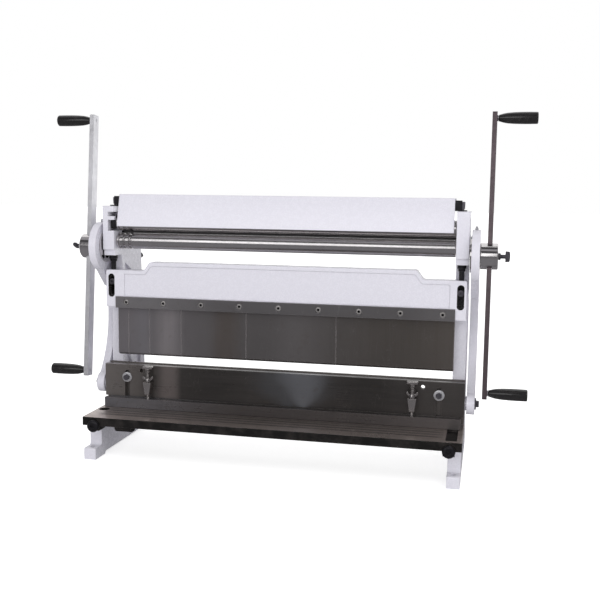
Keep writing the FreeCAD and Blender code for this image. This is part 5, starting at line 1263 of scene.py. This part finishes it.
class ROLLMACHINE_OT_stage(bpy.types.Operator):
    """Pale floor, soft studio light and the camera"""
    bl_idname = "rollmachine.stage"
    bl_label = "Stage, light and camera"
    bl_options = {"REGISTER", "UNDO"}

    def execute(self, context):
        scene = context.scene
        scene.view_settings.view_transform = "Standard"
        self.floor(scene)
        self.studio(scene)
        self.tent()
        self.lamps(scene)
        self.camera(scene)
        return {"FINISHED"}

    def floor(self, scene):
        """A wide floor that shows white to the camera and keeps the machine's shadow."""
        mesh = bpy.data.meshes.new("floor")
        corners = [(x * FLOOR_REACH, y * FLOOR_REACH, 0)
                   for x, y in ((-1, -1), (1, -1), (1, 1), (-1, 1))]
        mesh.from_pydata(corners, [], [(0, 1, 2, 3)])
        floor = linked("floor", mesh)
        material = bpy.data.materials.new("floor")
        tree, surface = emptied(material, "Material")
        lit = add("BsdfDiffuse", (*scene.roll_machine_colours.floor, 1.0), tree=tree)
        glow = add("Emission", WHITE, times(seen_rays(tree), 0.67))
        both = add("AddShader", lit.outputs[0], glow.outputs[0])
        join(both.outputs[0], surface)
        mesh.materials.append(material)

    def studio(self, scene):
        """An even pale studio, white wherever it is seen or mirrored."""
        scene.world = bpy.data.worlds.new("studio")
        tree, surface = emptied(scene.world, "World")
        height = split(add("TexCoord", tree=tree).outputs["Generated"])[2]
        even = add("Background", WHITE, ramp(height, -0.2, 0.9, 0.67, 0.81))
        white = add("Background", WHITE, 1.0, tree=tree)
        both = add("MixShader", seen_rays(tree), even.outputs[0], white.outputs[0])
        join(both.outputs[0], surface)

    def tent(self):
        """Dark cloth before and above the machine, which only polished metal mirrors.

        A profile runs along the floor to the tent's radius and up a quarter circle to its top, and
        is carried through an arc, open at the back. A flat fan of the same cloth covers the floor
        behind.
        """
        rise = np.linspace(0, np.pi / 2, 16)
        run = np.concatenate([[0.0, 0.4, 1.0, 3.0], TENT_REACH * np.cos(rise)])
        height = TENT_RISE + np.concatenate([np.zeros(4), TENT_REACH * np.sin(rise)])
        points, quads = swept(run, height, -100, 100, 41)
        back, more = swept(np.array([0.0, 2.6]), np.full(2, TENT_RISE), 100, 260, 33)
        mesh = bpy.data.meshes.new("tent")
        mesh.from_pydata(np.concatenate([points, back]), [],
                         np.concatenate([quads, more + len(points)]))
        tent = linked("tent", mesh)
        tent.visible_camera = tent.visible_diffuse = False
        tent.visible_shadow = tent.visible_transmission = False
        material = bpy.data.materials.new("tent cloth")
        tree, surface = emptied(material, "Material")
        place = add("TexCoord", tree=tree).outputs["Object"]
        level = split(place)[2]
        away = add("VectorMath", place, operation="LENGTH").outputs["Value"]
        glow = ramp(away, 0.25, 0.45, 0.06, 0.22)
        for value, low, high, change in ((away, 1.0, 3.5, -0.06), (level, 3.7, 4.3, -0.11),
                                         (level, 4.8, 5.3, 0.34), (level, 5.8, 6.2, -0.33)):
            glow = plus(glow, ramp(value, low, high, 0.0, change))
        cloth = add("Emission", (0.97, 0.95, 1.0, 1.0), glow)
        join(cloth.outputs[0], surface)
        mesh.materials.append(material)

    def lamps(self, scene):
        """A large soft window before the machine, a softer lamp high on its right, and a low fill.

        The fill lights the recesses under the beam, and polished metal does not mirror it.
        """
        for name, spot, wide, tall, share, mirrored_too in (
                ("window lamp", (-0.85, -4.0, 1.6), 2.8, 1.9, 0.92, True),
                ("high lamp", (2.6, -2.4, 2.9), 1.8, 1.8, 0.62, True),
                ("fill lamp", (1.3, -2.9, 0.22), 1.6, 0.5, 0.62, False)):
            lamp = bpy.data.lights.new(name, "AREA")
            lamp.shape = "RECTANGLE"
            lamp.size, lamp.size_y = wide, tall
            lamp.energy = scene.roll_machine_sizes.lamp * share
            item = linked(name, lamp)
            item.location = spot
            item.visible_glossy = mirrored_too
            item.rotation_mode = "QUATERNION"
            towards = Vector((0, 0, 0.45)) - Vector(spot)
            item.rotation_quaternion = towards.to_track_quat("-Z", "Y")

    def camera(self, scene):
        """A long lens a little above and to the right of the machine, looking slightly down."""
        yaw, pitch, roll = math.radians(12.20), math.radians(6.92), math.radians(0.71)
        level = Vector((-math.sin(yaw), math.cos(yaw), 0))
        ahead = level * math.cos(pitch) - Vector((0, 0, math.sin(pitch)))
        right0 = Vector((math.cos(yaw), math.sin(yaw), 0))
        up0 = right0.cross(ahead)
        right = right0 * math.cos(roll) + up0 * math.sin(roll)
        up = up0 * math.cos(roll) - right0 * math.sin(roll)
        lens = bpy.data.cameras.new("camera")
        lens.sensor_width = 36.0
        lens.lens = 52.194
        lens.clip_start, lens.clip_end = 0.05, 100.0
        turn = Matrix((right, up, -ahead)).transposed().to_4x4()
        scene.camera = linked("camera", lens)
        scene.camera.matrix_world = Matrix.Translation((0.445, -1.880, 0.583)) @ turn


class ROLLMACHINE_PT_sidebar(bpy.types.Panel):
    """Sidebar panel with the makers, sizes and colours"""
    bl_idname = "ROLLMACHINE_PT_sidebar"
    bl_label = "Roll machine"
    bl_space_type = "VIEW_3D"
    bl_region_type = "UI"
    bl_category = "Roll machine"

    def draw(self, context):
        for maker in MAKERS:
            self.layout.operator(maker.bl_idname)
        for settings in (context.scene.roll_machine_sizes, context.scene.roll_machine_colours):
            box = self.layout.box()
            for name in settings.bl_rna.properties.keys():
                if name not in ("rna_type", "name"):
                    box.prop(settings, name)


MAKERS = (ROLLMACHINE_OT_stage, ROLLMACHINE_OT_castings, ROLLMACHINE_OT_cover,
          ROLLMACHINE_OT_bed, ROLLMACHINE_OT_brake, ROLLMACHINE_OT_rolls,
          ROLLMACHINE_OT_cranks, ROLLMACHINE_OT_fasteners, ROLLMACHINE_OT_hold_down)
CLASSES = (RollMachineColours, RollMachineSizes) + MAKERS + (ROLLMACHINE_PT_sidebar,)


def register():
    """Registers the classes and gives the scene its colours and sizes."""
    for item in CLASSES:
        bpy.utils.register_class(item)
    bpy.types.Scene.roll_machine_colours = PointerProperty(type=RollMachineColours)
    bpy.types.Scene.roll_machine_sizes = PointerProperty(type=RollMachineSizes)


def unregister():
    """Takes back what register() gave."""
    del bpy.types.Scene.roll_machine_sizes
    del bpy.types.Scene.roll_machine_colours
    for item in reversed(CLASSES):
        bpy.utils.unregister_class(item)


def main():
    register()
    for maker in MAKERS:
        family, name = maker.bl_idname.split(".")
        getattr(getattr(bpy.ops, family), name)()


if __name__ == "__main__":
    main()
